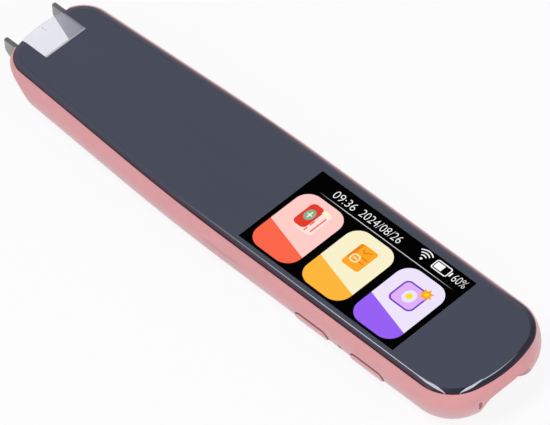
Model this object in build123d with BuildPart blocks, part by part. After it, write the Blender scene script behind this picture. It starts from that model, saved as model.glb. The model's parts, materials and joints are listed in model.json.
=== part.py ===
from build123d import *
from math import cos, radians, sin, sqrt, tan
import os

# A handheld translator: a flat scanning pen with a glass front and a colour display.
# Millimetres. +X points to the charging end and -X to the scanning tip, the two side keys
# are on -Y, and +Z comes out of the glass. The back face lies on z = 0.

# ---------------------------------------------------------------- driving dimensions
# Overall form
overall_length = 141.3      # prong tips to charging end
glass_width = 29.3          # where the sides are parallel
glass_tip_width = 23.6      # where the front corners begin
case_thickness = 11.5       # back face to the top of the glass
case_bulge = 1.2            # case past the glass edge, at its widest line
waist_height = 7.0          # height of the widest line, and radius rolled under it
taper_length = 55.4         # glass tip to the shoulder where the sides turn parallel
shoulder_radius = 560.0
end_bow_radius = 29.0       # bowed end of the glass
tip_bow_radius = 30.0       # bowed front of the glass
end_corner_radius = 9.0
tip_corner_radius = 6.4

# Walls and fits
wall = 1.4                  # moulded case wall
floor_lap = 0.4             # rolled sides run on into the flat floor of the case
glass_thickness = 0.8
glass_gap = 0.15            # case lip to glass edge
lip_width = 0.3             # flat land on top of the case lip
lip_drop = 0.6              # case lip below the top of the glass
bevel_width = 1.35          # ground edge of the glass
bevel_drop = 0.42
bevel_crown = 0.3           # share of the drop left at the crown of the ground edge
tape_thickness = 0.2
tape_width = 1.55
fit_gap = 0.3               # loose fit of one moulded piece in another
slide_gap = 0.06            # running fit of a plunger in its switch
seat_gap = 0.05             # a moulded piece resting against its stop

# Scanning tip
prong_reach = 3.45          # prongs ahead of the glass
prong_span = 15.1           # across both prongs
prong_thickness = 1.1
prong_base_height = 2.2     # underside of the prongs above the back face
prong_glass_gap = 0.85
prong_length = 17.2
nose_angle = 43.0           # face that lies on the paper, from the horizontal
nose_height = 7.0           # where that face reaches the prong tips
nose_round = 1.6
bow_angle = 58.0            # sweep of the faces on both sides of the nose, seen from below
bow_half = 6.5              # where they begin, from the centre plane
bow_round = 3.0             # edge between those faces and the rolled sides
prong_top_round = 1.5
prong_edge = 0.25           # broken edge along the front of each prong
trigger_travel = 1.0
bridge_setback = 14.2       # prong tip to the bar that joins the prongs
bridge_depth = 2.0
bridge_height = 1.6
window_width = 11.6
window_length = 8.1         # behind the glass tip
window_flange = 1.5
window_flange_thickness = 0.35
hood_setback = 0.45         # hood wall behind the back edge of the window
hood_wall = 1.0
hood_tab_length = 3.0

# Scanner optics behind the hood
camera_width = 6.4
camera_height = 4.4
camera_depth = 3.4
camera_barrel_radius = 2.1
camera_lens_radius = 1.4
camera_lens_thickness = 0.5
led_count = 4
led_pitch = 2.5
led_size = 0.8
led_depth = 0.6
light_board_height = 1.2
light_board_thickness = 0.6
light_guide_thickness = 0.4

# Trigger springs and switch
spring_length = 3.5
spring_radius = 0.8
spring_wire = 0.22          # flat wire
spring_turns = 3
spring_offset = 4.6         # springs to the centre plane
stop_gap = 0.1              # bridge to its front stop
trigger_switch_gap = 1.3    # bridge to the face of its switch
trigger_board_thickness = 0.6
trigger_board_width = 6.4
trigger_tail_width = 2.4    # tail of that board through the stop rib
trigger_tail_offset = 2.0
trigger_flex_setback = 0.75 # stop rib to the circuit that rises from the tail

# Display
display_view_length = 44.0
display_view_width = 24.4
display_end_margin = 20.0   # end of the view to the end of the glass
display_side_border = 0.7
display_lead_border = 1.1
display_driver_ledge = 4.5
display_cell_thickness = 0.8
backlight_thickness = 0.8
driver_gap = 0.6            # top plate of the cell to the driver chip
driver_length = 14.0
driver_width = 1.2
driver_height = 0.3

# Chassis
chassis_height = 2.2
chassis_plate = 0.8
chassis_rim = 1.3
chassis_rib = 1.0
chassis_front_inset = 17.0  # glass tip to the front edge of the chassis
arm_inset = 3.0             # glass tip to the inner rims of the chassis arms
flex_slot_width = 10.0
screw_radius = 0.7
screw_head_radius = 1.25
screw_head_height = 0.6
screw_length = 4.5
boss_radius = 1.9
boss_inset = 3.2            # boss centre inside the glass edge
boss_front_inset = 22.0     # front bosses behind the glass tip
boss_rear_inset = 12.65     # rear bosses ahead of the end of the glass

# Main board
board_height = 5.5          # underside of the board above the back face
board_thickness = 1.0
board_front_inset = 1.4     # board edge behind the front edge of the display
board_end_gap = 0.2         # board edge to the wall behind the charging port
board_width = 24.2
board_corner = 1.0
standoff_width = 2.4
standoff_inset = 2.2
standoff_end_inset = 2.6
connector_inset = 2.0       # board edge to the connectors at its front
connector_depth = 2.2
connector_height = 1.2
connector_margin = 0.6      # connector past the edge of its circuit
shield_inset = 3.0          # shield can before the end of the display view
shield_length = 16.0
shield_width = 13.0
shield_height = 1.3
shield_sheet = 0.2
shield_gap = 1.0            # shield can to the display connector
chip_size = 9.0
memory_width = 6.3
memory_gap = 5.8            # memory chip to the shield can
chip_height = 0.8
flex_thickness = 0.15
flex_width = 4.4
flex_offset = 2.7           # flexible circuit and battery leads beside the centre plane
flex_bend = 0.5
antenna_gap = 3.0
antenna_length = 5.0
antenna_width = 16.0

# Charging port and its scoop
scoop_floor_inset = 4.3     # scoop wall in from the charging end
scoop_width = 12.4
scoop_height = 6.5
scoop_flare = 20.0
scoop_round = 3.0
port_width = 8.94
port_height = 3.26
port_depth = 7.3
port_sheet = 0.3
port_hole_gap = 0.15
port_tongue_width = 6.7
port_tongue_thickness = 0.7
port_tongue_corner = 0.2
port_tongue_setback = 0.8
cord_slot_width = 0.8
cord_slot_height = 2.2
cord_slot_depth = 2.6
cord_bar_width = 1.2        # bar that a wrist cord loops round

# Side keys
key_length = 9.2
key_height = 3.0
key_pitch = 15.8
key_end_distance = 24.35    # second key's centre to the end of the glass
key_proud = 0.35
key_gap = 0.2
key_travel = 0.4
key_flange = 0.5
key_bay_depth = 13.4        # flat inner wall behind the keys, from the centre plane
key_edge = 0.2              # broken edge round the crown
key_nub_radius = 0.9
switch_length = 4.7
switch_depth = 2.1
switch_height = 1.8
switch_face = 11.4          # switch front, from the centre plane
plunger_radius = 0.45
plunger_reach = 0.65
mic_hole_radius = 0.45
mic_length = 2.8
mic_depth = 2.0
mic_height = 1.0
mic_boot_length = 3.2

# Thumb groove ahead of the keys
groove_length = 13.0
groove_height = 4.4
groove_depth = 0.8
groove_end_distance = 65.75 # its centre to the end of the glass
groove_top = 7.7

# Battery
battery_width = 15.4
battery_thickness = 5.0
battery_setback = 21.0      # glass tip to battery
battery_run = 11.65         # battery to speaker, where its circuit climbs to the board
battery_round = 1.2
battery_tape_thickness = 0.15
battery_tape_width = 10.4
battery_tape_inset = 2.0
battery_board_length = 2.0
battery_board_thickness = 1.0
battery_board_rise = 1.0    # above the underside of the battery
battery_flex_width = 2.4
battery_flex_run = 2.5      # straight run of its circuit before it climbs to the board
foam_width = 5.0
foam_inset = 6.0

# Speaker
speaker_length = 18.0
speaker_width = 12.0
speaker_height = 3.2
speaker_corner = 2.0
speaker_frame = 1.5
speaker_recess = 0.8
speaker_seal_thickness = 0.4
speaker_end_distance = 51.0 # its centre to the end of the glass
speaker_slot_length = 9.0   # slots in the back that let the sound out
speaker_slot_width = 1.0
speaker_slot_pitch = 2.4
contact_length = 1.6
contact_width = 1.2
contact_pitch = 6.0

# ---------------------------------------------------------------- derived places
# Lengthwise
case_end_x = overall_length / 2
glass_end_x = case_end_x - case_bulge
prong_tip_x = -overall_length / 2
glass_tip_x = prong_tip_x + prong_reach
shoulder_x = glass_tip_x + taper_length

# Heights of the glass and what carries it
glass_top = case_thickness
glass_bottom = glass_top - glass_thickness
ledge_height = glass_bottom - tape_thickness
lip_height = glass_top - lip_drop
floor_height = wall
inner_spread = case_bulge - wall


def sagitta(radius, half_chord):
    """Rise of an arc of this radius over half its chord."""
    return radius - sqrt(radius**2 - half_chord**2)


def half_width(x, spread=0.0):
    """Half the width of the plan outline at x, away from its rounded ends."""
    slope = (glass_width - glass_tip_width) / 2 / taper_length
    return glass_width / 2 + spread - slope * max(0.0, shoulder_x - x)


def nose_x(z):
    """Place of the slanting paper face at a height."""
    return prong_tip_x + (nose_height - z) / tan(radians(nose_angle))


# Scanning tip
prong_outer = prong_span / 2
prong_inner = prong_outer - prong_thickness
prong_top = glass_bottom - prong_glass_gap
prong_back_x = prong_tip_x + prong_length
bridge_front_x = prong_tip_x + bridge_setback
bridge_back_x = bridge_front_x + bridge_depth
bridge_top = prong_base_height + bridge_height
window_back_x = glass_tip_x + window_length
hood_front_x = window_back_x + hood_setback
hood_back_x = hood_front_x + hood_wall
hood_half = prong_inner - fit_gap
hood_base = bridge_top + fit_gap
hood_top = glass_bottom - window_flange_thickness
passage_half = prong_outer + fit_gap
passage_floor = prong_base_height - fit_gap
passage_back_x = prong_back_x + trigger_travel + fit_gap
chassis_front_x = glass_tip_x + chassis_front_inset

# Trigger springs and switch
spring_back_x = bridge_back_x + spring_length
spring_level = prong_base_height + spring_radius
trigger_switch_x = bridge_back_x + trigger_switch_gap
trigger_board_top = floor_height + trigger_board_thickness
trigger_tail_x = spring_back_x + wall + 2 * trigger_flex_setback

# Charging port
scoop_wall_x = case_end_x - scoop_floor_inset
port_level = board_height - port_height / 2
cord_slot_y = -(scoop_width / 2 + cord_bar_width + cord_slot_width / 2)
cord_slot_x = case_end_x - case_bulge - cord_slot_depth + cord_slot_width / 2

# Display
view_end_x = glass_end_x - display_end_margin
view_start_x = view_end_x - display_view_length
cell_start_x = view_start_x - display_lead_border
cell_end_x = view_end_x + display_lead_border
cell_half = display_view_width / 2 + display_side_border
cell_base = glass_bottom - display_cell_thickness
backlight_base = cell_base - backlight_thickness
ledge_end_x = cell_end_x + display_driver_ledge
driver_ledge_top = cell_base + display_cell_thickness / 2
flex_slot_x = ledge_end_x + chassis_rib

# Chassis, bosses and board
chassis_base = ledge_height - chassis_height
plate_top = chassis_base + chassis_plate
chassis_spread = inner_spread - fit_gap
boss_places = [
    (x, side * (half_width(x) - boss_inset))
    for x in (glass_tip_x + boss_front_inset, glass_end_x - boss_rear_inset)
    for side in (-1, 1)
]
board_top = board_height + board_thickness
board_start_x = cell_start_x + board_front_inset
board_end_x = scoop_wall_x - wall - board_end_gap
connector_x = board_start_x + connector_inset
connector_level = board_top + connector_height / 2
standoff_places = [
    (x, side * (board_width / 2 - standoff_inset))
    for x in (board_start_x + standoff_inset, board_end_x - standoff_end_inset)
    for side in (-1, 1)
]

# Parts on the main board
can_end_x = view_end_x - shield_inset
can_start_x = can_end_x - shield_length
display_connector_x = can_end_x + shield_gap

# Side keys
key_level = board_height - switch_height / 2
key_centres = [glass_end_x - key_end_distance - key_pitch, glass_end_x - key_end_distance]
mic_x = sum(key_centres) / 2
key_bay_start = key_centres[0] - key_length / 2 - key_flange - fit_gap
key_bay_end = key_centres[1] + key_length / 2 + key_flange + fit_gap
key_bay_half = key_height / 2 + key_flange + fit_gap
flange_outer = key_bay_depth - seat_gap
flange_inner = flange_outer - key_flange
plunger_tip = switch_face + plunger_reach

# Battery and speaker
speaker_x = glass_end_x - speaker_end_distance
speaker_base = floor_height + speaker_seal_thickness
battery_x = glass_tip_x + battery_setback
battery_end_x = speaker_x - speaker_length / 2 - battery_run
battery_base = floor_height + battery_tape_thickness
battery_top = battery_base + battery_thickness
pouch_end_x = battery_end_x - battery_board_length


# ---------------------------------------------------------------- shapes used all over
def plan(height, spread):
    """Plan outline at a height, parallel to the glass edge and spread outside it."""
    half = glass_width / 2 + spread
    tip_half = glass_tip_width / 2 + spread
    end_x = glass_end_x + spread
    end_corner_x = end_x - sagitta(end_bow_radius + spread, half)
    tip_x = glass_tip_x - spread
    tip_corner_x = tip_x + sagitta(tip_bow_radius + spread, tip_half)
    with BuildSketch(Plane.XY.offset(height)) as outline:
        with BuildLine():
            Polyline((end_corner_x, half), (shoulder_x, half), (tip_corner_x, tip_half))
            ThreePointArc((tip_corner_x, tip_half), (tip_x, 0), (tip_corner_x, -tip_half))
            Polyline((tip_corner_x, -tip_half), (shoulder_x, -half), (end_corner_x, -half))
            ThreePointArc((end_corner_x, -half), (end_x, 0), (end_corner_x, half))
        make_face()
        fillet(outline.vertices().group_by(Axis.X)[1], shoulder_radius)
        fillet(outline.vertices().group_by(Axis.X)[0], tip_corner_radius + spread)
        fillet(outline.vertices().group_by(Axis.X)[-1], end_corner_radius + spread)
    return outline.sketch


def plan_prism(spread, low, high, mode=Mode.ADD):
    """Straight-sided block on the plan outline, in the part being built."""
    extrude(plan(low, spread), amount=high - low, mode=mode)


def box_between(x, y, z, x2, y2, z2, mode=Mode.ADD):
    """Box between two corners, in the part being built."""
    with Locations(((x + x2) / 2, (y + y2) / 2, (z + z2) / 2)):
        Box(abs(x2 - x), abs(y2 - y), abs(z2 - z), mode=mode)


def posts(places, radius, low, high, mode=Mode.ADD):
    """Upright round posts or holes, in the part being built."""
    with Locations(*[(x, y, low) for x, y in places]):
        Cylinder(radius, high - low, align=(Align.CENTER, Align.CENTER, Align.MIN), mode=mode)


def across(path):
    """Plane across the start of an outline, x outwards and y upwards."""
    outward = (path % 0).cross(Vector(0, 0, 1))
    return Plane(origin=path @ 0, x_dir=outward, z_dir=outward.cross(Vector(0, 0, 1)))


def case_form(grow=0.0):
    """Outside of the case: sides rolled under the waist, leaning in above it."""
    spread = case_bulge + grow
    roll = waist_height + grow
    lean = case_bulge - glass_gap - lip_width
    rise = lip_height - waist_height
    path = plan(waist_height, spread).face().outer_wire()
    with BuildPart() as form:
        with BuildSketch(across(path)):
            with BuildLine():
                under = JernArc((0, 0), (0, -1), roll, -90)
                Polyline(under @ 1, (-roll - floor_lap, -roll), (-roll - floor_lap, rise),
                         (-lean, rise))
                ThreePointArc((-lean, rise), (-lean / 4, rise / 2), (0, 0))
            make_face()
        sweep(path=path)
        extrude(plan(waist_height - roll, spread - roll), amount=roll + rise)
    return form.part


def hollow_form(spread, roll):
    """Inside of the case: upright sides over two bevels that follow the outer roll."""
    rise = ledge_height - waist_height
    knee = roll * (1 - sqrt(0.5))
    path = plan(waist_height, spread).face().outer_wire()
    with BuildPart() as form:
        with BuildSketch(across(path)):
            with BuildLine():
                Polyline((-roll - floor_lap, -roll), (-roll, -roll), (-knee, knee - roll),
                         (0, 0), (0, rise), (-roll - floor_lap, rise), close=True)
            make_face()
        sweep(path=path)
        extrude(plan(waist_height - roll, spread - roll), amount=roll + rise)
    return form.part


def flat_circuit(points, y, width):
    """Flexible circuit: a thin strip bent along a route in the side view."""
    with BuildPart() as strip:
        with BuildSketch(Plane.XZ.offset(-y - width / 2)):
            with BuildLine():
                FilletPolyline(*points, radius=flex_bend)
            trace(line_width=flex_thickness)
        extrude(amount=width)
    return strip


def coil_spring(y):
    """Compression spring of flat wire between the trigger's bridge and its stop rib."""
    rise = spring_length - spring_wire
    with BuildPart() as spring:
        with BuildLine() as coil:
            Helix(rise / spring_turns, rise, spring_radius - spring_wire / 2,
                  center=(bridge_back_x + spring_wire / 2, y, spring_level), direction=(1, 0, 0))
        with BuildSketch(coil.line ^ 0):
            Rectangle(spring_wire, spring_wire)
        sweep(path=coil.line, is_frenet=True)
    return spring.part


# ---------------------------------------------------------------- rear housing
# everything that is moulded inside the case, with its roots in the case wall
root_form = hollow_form(inner_spread + wall / 2, waist_height - wall / 2)

with BuildPart() as inner_fittings:
    # wall behind the charging port
    box_between(scoop_wall_x - wall, -scoop_width, 0, case_end_x, scoop_width, chassis_base)
    # screw bosses under the chassis and standoffs under the board
    posts(boss_places, boss_radius, 0, chassis_base)
    with Locations(*standoff_places):
        Box(standoff_width, standoff_width, board_height,
            align=(Align.CENTER, Align.CENTER, Align.MIN))
    # stop ribs before the trigger's bridge and behind its springs
    box_between(bridge_front_x - stop_gap - hood_wall, -prong_inner, 0,
                bridge_front_x - stop_gap, prong_inner, bridge_top)
    box_between(spring_back_x, -prong_inner, 0, spring_back_x + wall, prong_inner, bridge_top)
    box_between(spring_back_x, -trigger_tail_offset - trigger_tail_width / 2 - slide_gap,
                floor_height, spring_back_x + wall,
                -trigger_tail_offset + trigger_tail_width / 2 + slide_gap,
                trigger_board_top + slide_gap, mode=Mode.SUBTRACT)
    # ribs before and behind the battery
    for x in (battery_x - fit_gap - wall, battery_end_x + fit_gap):
        box_between(x, -battery_width / 2, 0, x + wall, battery_width / 2, floor_height + wall)
    # flat wall for the flanges of the keys
    box_between(key_bay_start, -glass_width, key_level - key_bay_half,
                key_bay_end, -key_bay_depth, key_level + key_bay_half)
    add(root_form, mode=Mode.INTERSECT)

groove_x = glass_end_x - groove_end_distance
groove_radius = ((groove_length / 2) ** 2 + groove_depth**2) / (2 * groove_depth)
groove_axis_y = -half_width(groove_x, case_bulge) + groove_depth - groove_radius

with BuildPart() as port_scoop:
    with BuildSketch(Plane.YZ.offset(scoop_wall_x)):
        RectangleRounded(scoop_width, 2 * scoop_height, scoop_round)
    extrude(amount=2 * scoop_floor_inset, taper=-scoop_flare)

with BuildPart() as nose_cut:
    reach = 2 * nose_height
    with BuildSketch(Plane.XZ):
        with BuildLine():
            Polyline(
                (nose_x(-reach), -reach), (nose_x(reach), reach),
                (nose_x(reach) - reach, reach), (nose_x(reach) - reach, -reach), close=True,
            )
        make_face()
    extrude(amount=glass_width, both=True)



def bow_plane(side, inset=0.0):
    """Plane of the swept face on one side of the nose, set into the case."""
    tilt = radians(nose_angle)
    outward = Vector(-sin(tilt), side * sin(tilt) * tan(radians(bow_angle)), -cos(tilt)).normalized()
    return Plane(origin=Vector(nose_x(0), side * bow_half, 0) - outward * inset, z_dir=outward)


def on_bow_rim(edge, side):
    """Whether an edge lies between the swept face on one side and the rolled side."""
    face = bow_plane(side)
    flush = all(abs(face.to_local_coords(edge @ t).Z) < 0.001 for t in (0, 0.5, 1))
    return flush and min(abs((edge @ t).Y) for t in (0, 1)) > passage_half + fit_gap


def bow_block(side, inset):
    """Block ahead of the swept face on one side of the nose, set into the case."""
    with BuildPart() as block:
        with BuildSketch(bow_plane(side, inset)):
            Rectangle(2 * glass_width, 2 * glass_width)
        extrude(amount=glass_width)
    return block.part


def bow_wall(side):
    """Wall inside the swept face, up to the chassis."""
    with BuildPart() as fill:
        add(bow_block(side, wall))
        add(outer_form, mode=Mode.INTERSECT)
        box_between(prong_tip_x, -glass_width, chassis_base - fit_gap, 0, glass_width,
                    2 * glass_top, mode=Mode.SUBTRACT)
    return fill.part


outer_form = case_form()
inner_form = hollow_form(inner_spread, waist_height - wall)

with BuildPart() as rear_housing:
    add(outer_form)
    add(inner_form, mode=Mode.SUBTRACT)
    add(inner_fittings.part)
    for side in (-1, 1):
        add(bow_wall(side))
    plan_prism(glass_gap, ledge_height, glass_top, mode=Mode.SUBTRACT)
    # open front between the corners, where the prongs slide
    box_between(prong_tip_x, -passage_half, bridge_top, passage_back_x, passage_half,
                glass_top, mode=Mode.SUBTRACT)
    for side in (-1, 1):
        box_between(prong_tip_x, side * (prong_inner - fit_gap), passage_floor, passage_back_x,
                    side * passage_half, bridge_top, mode=Mode.SUBTRACT)
    box_between(prong_tip_x, -passage_half, passage_floor,
                bridge_front_x - stop_gap - hood_wall, passage_half, bridge_top,
                mode=Mode.SUBTRACT)
    add(nose_cut.part, mode=Mode.SUBTRACT)
    for side in (-1, 1):
        add(bow_block(side, 0), mode=Mode.SUBTRACT)
    # scoop in the charging end, and the port's mouth in its wall
    add(port_scoop.part, mode=Mode.SUBTRACT)
    with BuildSketch(Plane.YZ.offset(scoop_wall_x - 2 * wall)):
        with Locations((0, port_level)):
            SlotOverall(port_width + 2 * port_hole_gap, port_height + 2 * port_hole_gap)
    extrude(amount=3 * wall, mode=Mode.SUBTRACT)
    # slot and hidden passage for a wrist cord
    with BuildSketch(Plane.YZ.offset(case_end_x)):
        with Locations((cord_slot_y, scoop_height)):
            SlotOverall(cord_slot_height, cord_slot_width, rotation=90)
    extrude(amount=-cord_slot_depth - case_bulge, mode=Mode.SUBTRACT)
    with BuildSketch(Plane.XZ.offset(-cord_slot_y - cord_slot_width / 2)):
        with Locations((cord_slot_x, scoop_height)):
            SlotOverall(cord_slot_height, cord_slot_width, rotation=90)
    extrude(amount=-cord_bar_width - 3 * cord_slot_width, mode=Mode.SUBTRACT)
    # bay inside the wall, slots for both keys and the microphone hole between them
    box_between(key_bay_start, -key_bay_depth, key_level - key_bay_half,
                key_bay_end, -switch_face, key_level + key_bay_half, mode=Mode.SUBTRACT)
    with BuildSketch(Plane.XZ.offset(switch_face)):
        with Locations(*[(x, key_level) for x in key_centres]):
            SlotOverall(key_length + 2 * key_gap, key_height + 2 * key_gap)
        with Locations((mic_x, key_level)):
            Circle(mic_hole_radius)
    extrude(amount=glass_width / 2, mode=Mode.SUBTRACT)
    # thumb groove: a crisp step along the top that runs out into the rolled side below
    with Locations((groove_x, groove_axis_y, groove_top)):
        Cylinder(groove_radius, groove_height, align=(Align.CENTER, Align.CENTER, Align.MAX),
                 mode=Mode.SUBTRACT)
    # pilot holes in the bosses, sound slots under the speaker
    posts(boss_places, screw_radius, floor_height, chassis_base, mode=Mode.SUBTRACT)
    with BuildSketch(Plane.XY):
        with Locations(*[(speaker_x, side * speaker_slot_pitch) for side in (-1, 0, 1)]):
            SlotOverall(speaker_slot_length, speaker_slot_width)
    extrude(amount=floor_height, mode=Mode.SUBTRACT)
    # swept faces of the nose run round into the rolled sides
    for side in (-1, 1):
        fillet(edges().filter_by(lambda edge: on_bow_rim(edge, side)), bow_round)

# ---------------------------------------------------------------- glass and window
glass_path = plan(glass_bottom, 0).face().outer_wire()

with BuildPart() as glass_blank:
    with BuildSketch(across(glass_path)):
        with BuildLine():
            Polyline((-bevel_width, glass_thickness), (-bevel_width, 0), (0, 0),
                     (0, glass_thickness - bevel_drop))
            ThreePointArc(
                (0, glass_thickness - bevel_drop),
                (-bevel_crown * bevel_width, glass_thickness - bevel_crown * bevel_drop * 2),
                (-bevel_width, glass_thickness),
            )
        make_face()
    sweep(path=glass_path)
    plan_prism(-bevel_width, glass_bottom, glass_top)

with BuildPart() as cover_glass:
    add(glass_blank.part)
    box_between(glass_tip_x - wall, -window_width / 2, 0, window_back_x, window_width / 2,
                glass_top + wall, mode=Mode.SUBTRACT)

with BuildPart() as tip_window:
    add(glass_blank.part)
    box_between(glass_tip_x - wall, -window_width / 2 + seat_gap, 0, window_back_x - seat_gap,
                window_width / 2 - seat_gap, glass_top + wall, mode=Mode.INTERSECT)
    # flange that is held between the glass and the hood
    box_between(window_back_x - window_flange_thickness, -hood_half, glass_bottom,
                window_back_x + window_flange, hood_half, hood_top)

with BuildPart() as glass_tape:
    plan_prism(-glass_gap, ledge_height, glass_bottom)
    plan_prism(-glass_gap - tape_width, ledge_height, glass_bottom, mode=Mode.SUBTRACT)
    box_between(glass_tip_x - wall, -passage_half, 0, chassis_front_x, passage_half, glass_top,
                mode=Mode.SUBTRACT)

# ---------------------------------------------------------------- scanning trigger
with BuildPart() as scan_trigger:
    with BuildSketch(Plane.XZ.offset(prong_inner)) as prong_side:
        with BuildLine():
            Polyline(
                (prong_tip_x, prong_top), (prong_back_x, prong_top),
                (prong_back_x, prong_base_height), (nose_x(prong_base_height), prong_base_height),
                (prong_tip_x, nose_height), close=True,
            )
        make_face()
        nose_corner, top_corner = prong_side.vertices().group_by(Axis.X)[0].sort_by(Axis.Y)
        fillet(nose_corner, nose_round)
        fillet(top_corner, prong_top_round)
    extrude(amount=prong_thickness)
    front_edges = scan_trigger.edges().filter_by(Axis.Z).group_by(Axis.X)[0]
    chamfer(front_edges, prong_edge)
    mirror(about=Plane.XZ)
    box_between(bridge_front_x, -prong_outer, prong_base_height, bridge_back_x, prong_outer,
                bridge_top)

with BuildPart() as trigger_springs:
    for y in (-spring_offset, spring_offset):
        add(coil_spring(y))

# plunger that the bridge pushes into its switch
with BuildPart() as trigger_plunger:
    with BuildSketch(Plane.YZ.offset(bridge_back_x)):
        with Locations((0, spring_level)):
            Circle(plunger_radius)
    extrude(amount=trigger_switch_gap + plunger_reach)

with BuildPart() as trigger_switch:
    box_between(trigger_switch_x, -switch_length / 2, trigger_board_top,
                spring_back_x, switch_length / 2, trigger_board_top + switch_height)
    with BuildSketch(Plane.YZ.offset(trigger_switch_x)):
        with Locations((0, spring_level)):
            Circle(plunger_radius + slide_gap)
    extrude(amount=plunger_reach + trigger_travel + slide_gap, mode=Mode.SUBTRACT)

with BuildPart() as trigger_board:
    box_between(trigger_switch_x, -trigger_board_width / 2, floor_height,
                spring_back_x, trigger_board_width / 2, trigger_board_top)
    box_between(spring_back_x, -trigger_tail_offset - trigger_tail_width / 2, floor_height,
                trigger_tail_x, -trigger_tail_offset + trigger_tail_width / 2, trigger_board_top)

# ---------------------------------------------------------------- scanner optics
shelf_top = hood_base + hood_wall / 2
camera_level = shelf_top + camera_height / 2
camera_back_x = hood_back_x + camera_depth
lens_face_x = hood_front_x + seat_gap
light_level = camera_level + camera_height / 2 + slide_gap + light_board_height / 2
guide_half = led_pitch * led_count / 2
guide_back_x = hood_front_x + light_guide_thickness
led_back_x = guide_back_x + led_depth
led_places = [(led_pitch * (number - (led_count - 1) / 2), light_level)
              for number in range(led_count)]

with BuildPart() as optics_hood:
    box_between(hood_front_x, -hood_half, hood_base, hood_back_x, hood_half, hood_top)
    # shelf under the camera
    box_between(hood_back_x, -hood_half, hood_base, camera_back_x, hood_half, shelf_top)
    # cheeks beside it, and tabs that hook under the chassis
    for side in (-1, 1):
        inner = side * (hood_half - hood_wall)
        box_between(hood_back_x, side * hood_half, hood_base, chassis_front_x, inner, hood_top)
        box_between(chassis_front_x - hood_wall, side * hood_half, chassis_base - hood_wall,
                    chassis_front_x + hood_tab_length, inner, chassis_base)
    # openings for the lens barrel, the light guide and the lamps behind it
    with BuildSketch(Plane.YZ.offset(hood_front_x)):
        with Locations((0, camera_level)):
            Circle(camera_barrel_radius + slide_gap)
    extrude(amount=hood_wall, mode=Mode.SUBTRACT)
    with BuildSketch(Plane.YZ.offset(hood_front_x)):
        with Locations((0, light_level)):
            Rectangle(2 * guide_half, led_size)
    extrude(amount=light_guide_thickness, mode=Mode.SUBTRACT)
    with BuildSketch(Plane.YZ.offset(guide_back_x)):
        with Locations(*led_places):
            Rectangle(led_size + 2 * slide_gap, led_size)
    extrude(amount=led_depth, mode=Mode.SUBTRACT)

with BuildPart() as light_guide:
    with BuildSketch(Plane.YZ.offset(hood_front_x)):
        with Locations((0, light_level)):
            Rectangle(2 * (guide_half - slide_gap), led_size)
    extrude(amount=light_guide_thickness)

with BuildPart() as scan_leds:
    with BuildSketch(Plane.YZ.offset(guide_back_x)):
        with Locations(*led_places):
            Rectangle(led_size, led_size)
    extrude(amount=led_depth)

with BuildPart() as light_board:
    box_between(led_back_x, -guide_half, light_level - light_board_height / 2,
                led_back_x + light_board_thickness, guide_half,
                light_level + light_board_height / 2)

with BuildPart() as camera_module:
    with BuildSketch(Plane.YZ.offset(hood_back_x)):
        with Locations((0, camera_level)):
            Rectangle(camera_width, camera_height)
    extrude(amount=camera_depth)
    with BuildSketch(Plane.YZ.offset(lens_face_x)):
        with Locations((0, camera_level)):
            Circle(camera_barrel_radius)
    extrude(amount=hood_back_x - lens_face_x)
    with BuildSketch(Plane.YZ.offset(lens_face_x)):
        with Locations((0, camera_level)):
            Circle(camera_lens_radius)
    extrude(amount=camera_lens_thickness, mode=Mode.SUBTRACT)

with BuildPart() as camera_lens:
    with BuildSketch(Plane.YZ.offset(lens_face_x)):
        with Locations((0, camera_level)):
            Circle(camera_lens_radius)
    extrude(amount=camera_lens_thickness)
    chamfer(camera_lens.edges().group_by(Axis.X)[0], camera_lens_thickness / 4)

# ---------------------------------------------------------------- display
with BuildPart() as display_cell:
    box_between(cell_start_x, -cell_half, cell_base, cell_end_x, cell_half, glass_bottom)
    box_between(cell_end_x, -cell_half, cell_base, ledge_end_x, cell_half, driver_ledge_top)

with BuildPart() as display_driver:
    box_between(cell_end_x + driver_gap, -driver_length / 2, driver_ledge_top,
                cell_end_x + driver_gap + driver_width, driver_length / 2,
                driver_ledge_top + driver_height)

with BuildPart() as display_backlight:
    box_between(cell_start_x, -cell_half, backlight_base, cell_end_x, cell_half, cell_base)

# ---------------------------------------------------------------- chassis
rib_pitch = (cell_start_x - chassis_front_x) / 4

with BuildPart() as mid_frame:
    plan_prism(chassis_spread, chassis_base, ledge_height)
    plan_prism(chassis_spread - chassis_rim, plate_top, ledge_height, mode=Mode.SUBTRACT)
    # cross ribs and spine under the glass ahead of the display
    for number in range(4):
        x = chassis_front_x + number * rib_pitch
        half = half_width(x, chassis_spread) - chassis_rim
        box_between(x, -half, plate_top, x + chassis_rib, half, ledge_height)
    box_between(chassis_front_x, -chassis_rib / 2, plate_top, cell_start_x - fit_gap,
                chassis_rib / 2, ledge_height)
    # two arms that carry the glass beside the prongs
    box_between(glass_tip_x - wall, -passage_half, 0, chassis_front_x, passage_half, glass_top,
                mode=Mode.SUBTRACT)
    for side in (-1, 1):
        box_between(glass_tip_x + arm_inset, side * passage_half, plate_top, chassis_front_x,
                    side * (passage_half + chassis_rib), ledge_height)
    # pocket for the display and a slot for its flexible circuit
    box_between(cell_start_x - fit_gap, -cell_half - seat_gap, plate_top,
                ledge_end_x + fit_gap, cell_half + seat_gap, glass_top, mode=Mode.SUBTRACT)
    box_between(flex_slot_x - chassis_rib / 2, -flex_slot_width / 2, chassis_base,
                flex_slot_x + chassis_rib, flex_slot_width / 2, plate_top, mode=Mode.SUBTRACT)
    # screw holes
    posts(boss_places, screw_radius + slide_gap, chassis_base, plate_top, mode=Mode.SUBTRACT)
    posts(boss_places, screw_head_radius + slide_gap, plate_top, ledge_height,
          mode=Mode.SUBTRACT)

with BuildPart() as chassis_screws:
    posts(boss_places, screw_head_radius, plate_top, plate_top + screw_head_height)
    posts(boss_places, screw_radius - slide_gap / 2, plate_top - screw_length, plate_top)

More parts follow.
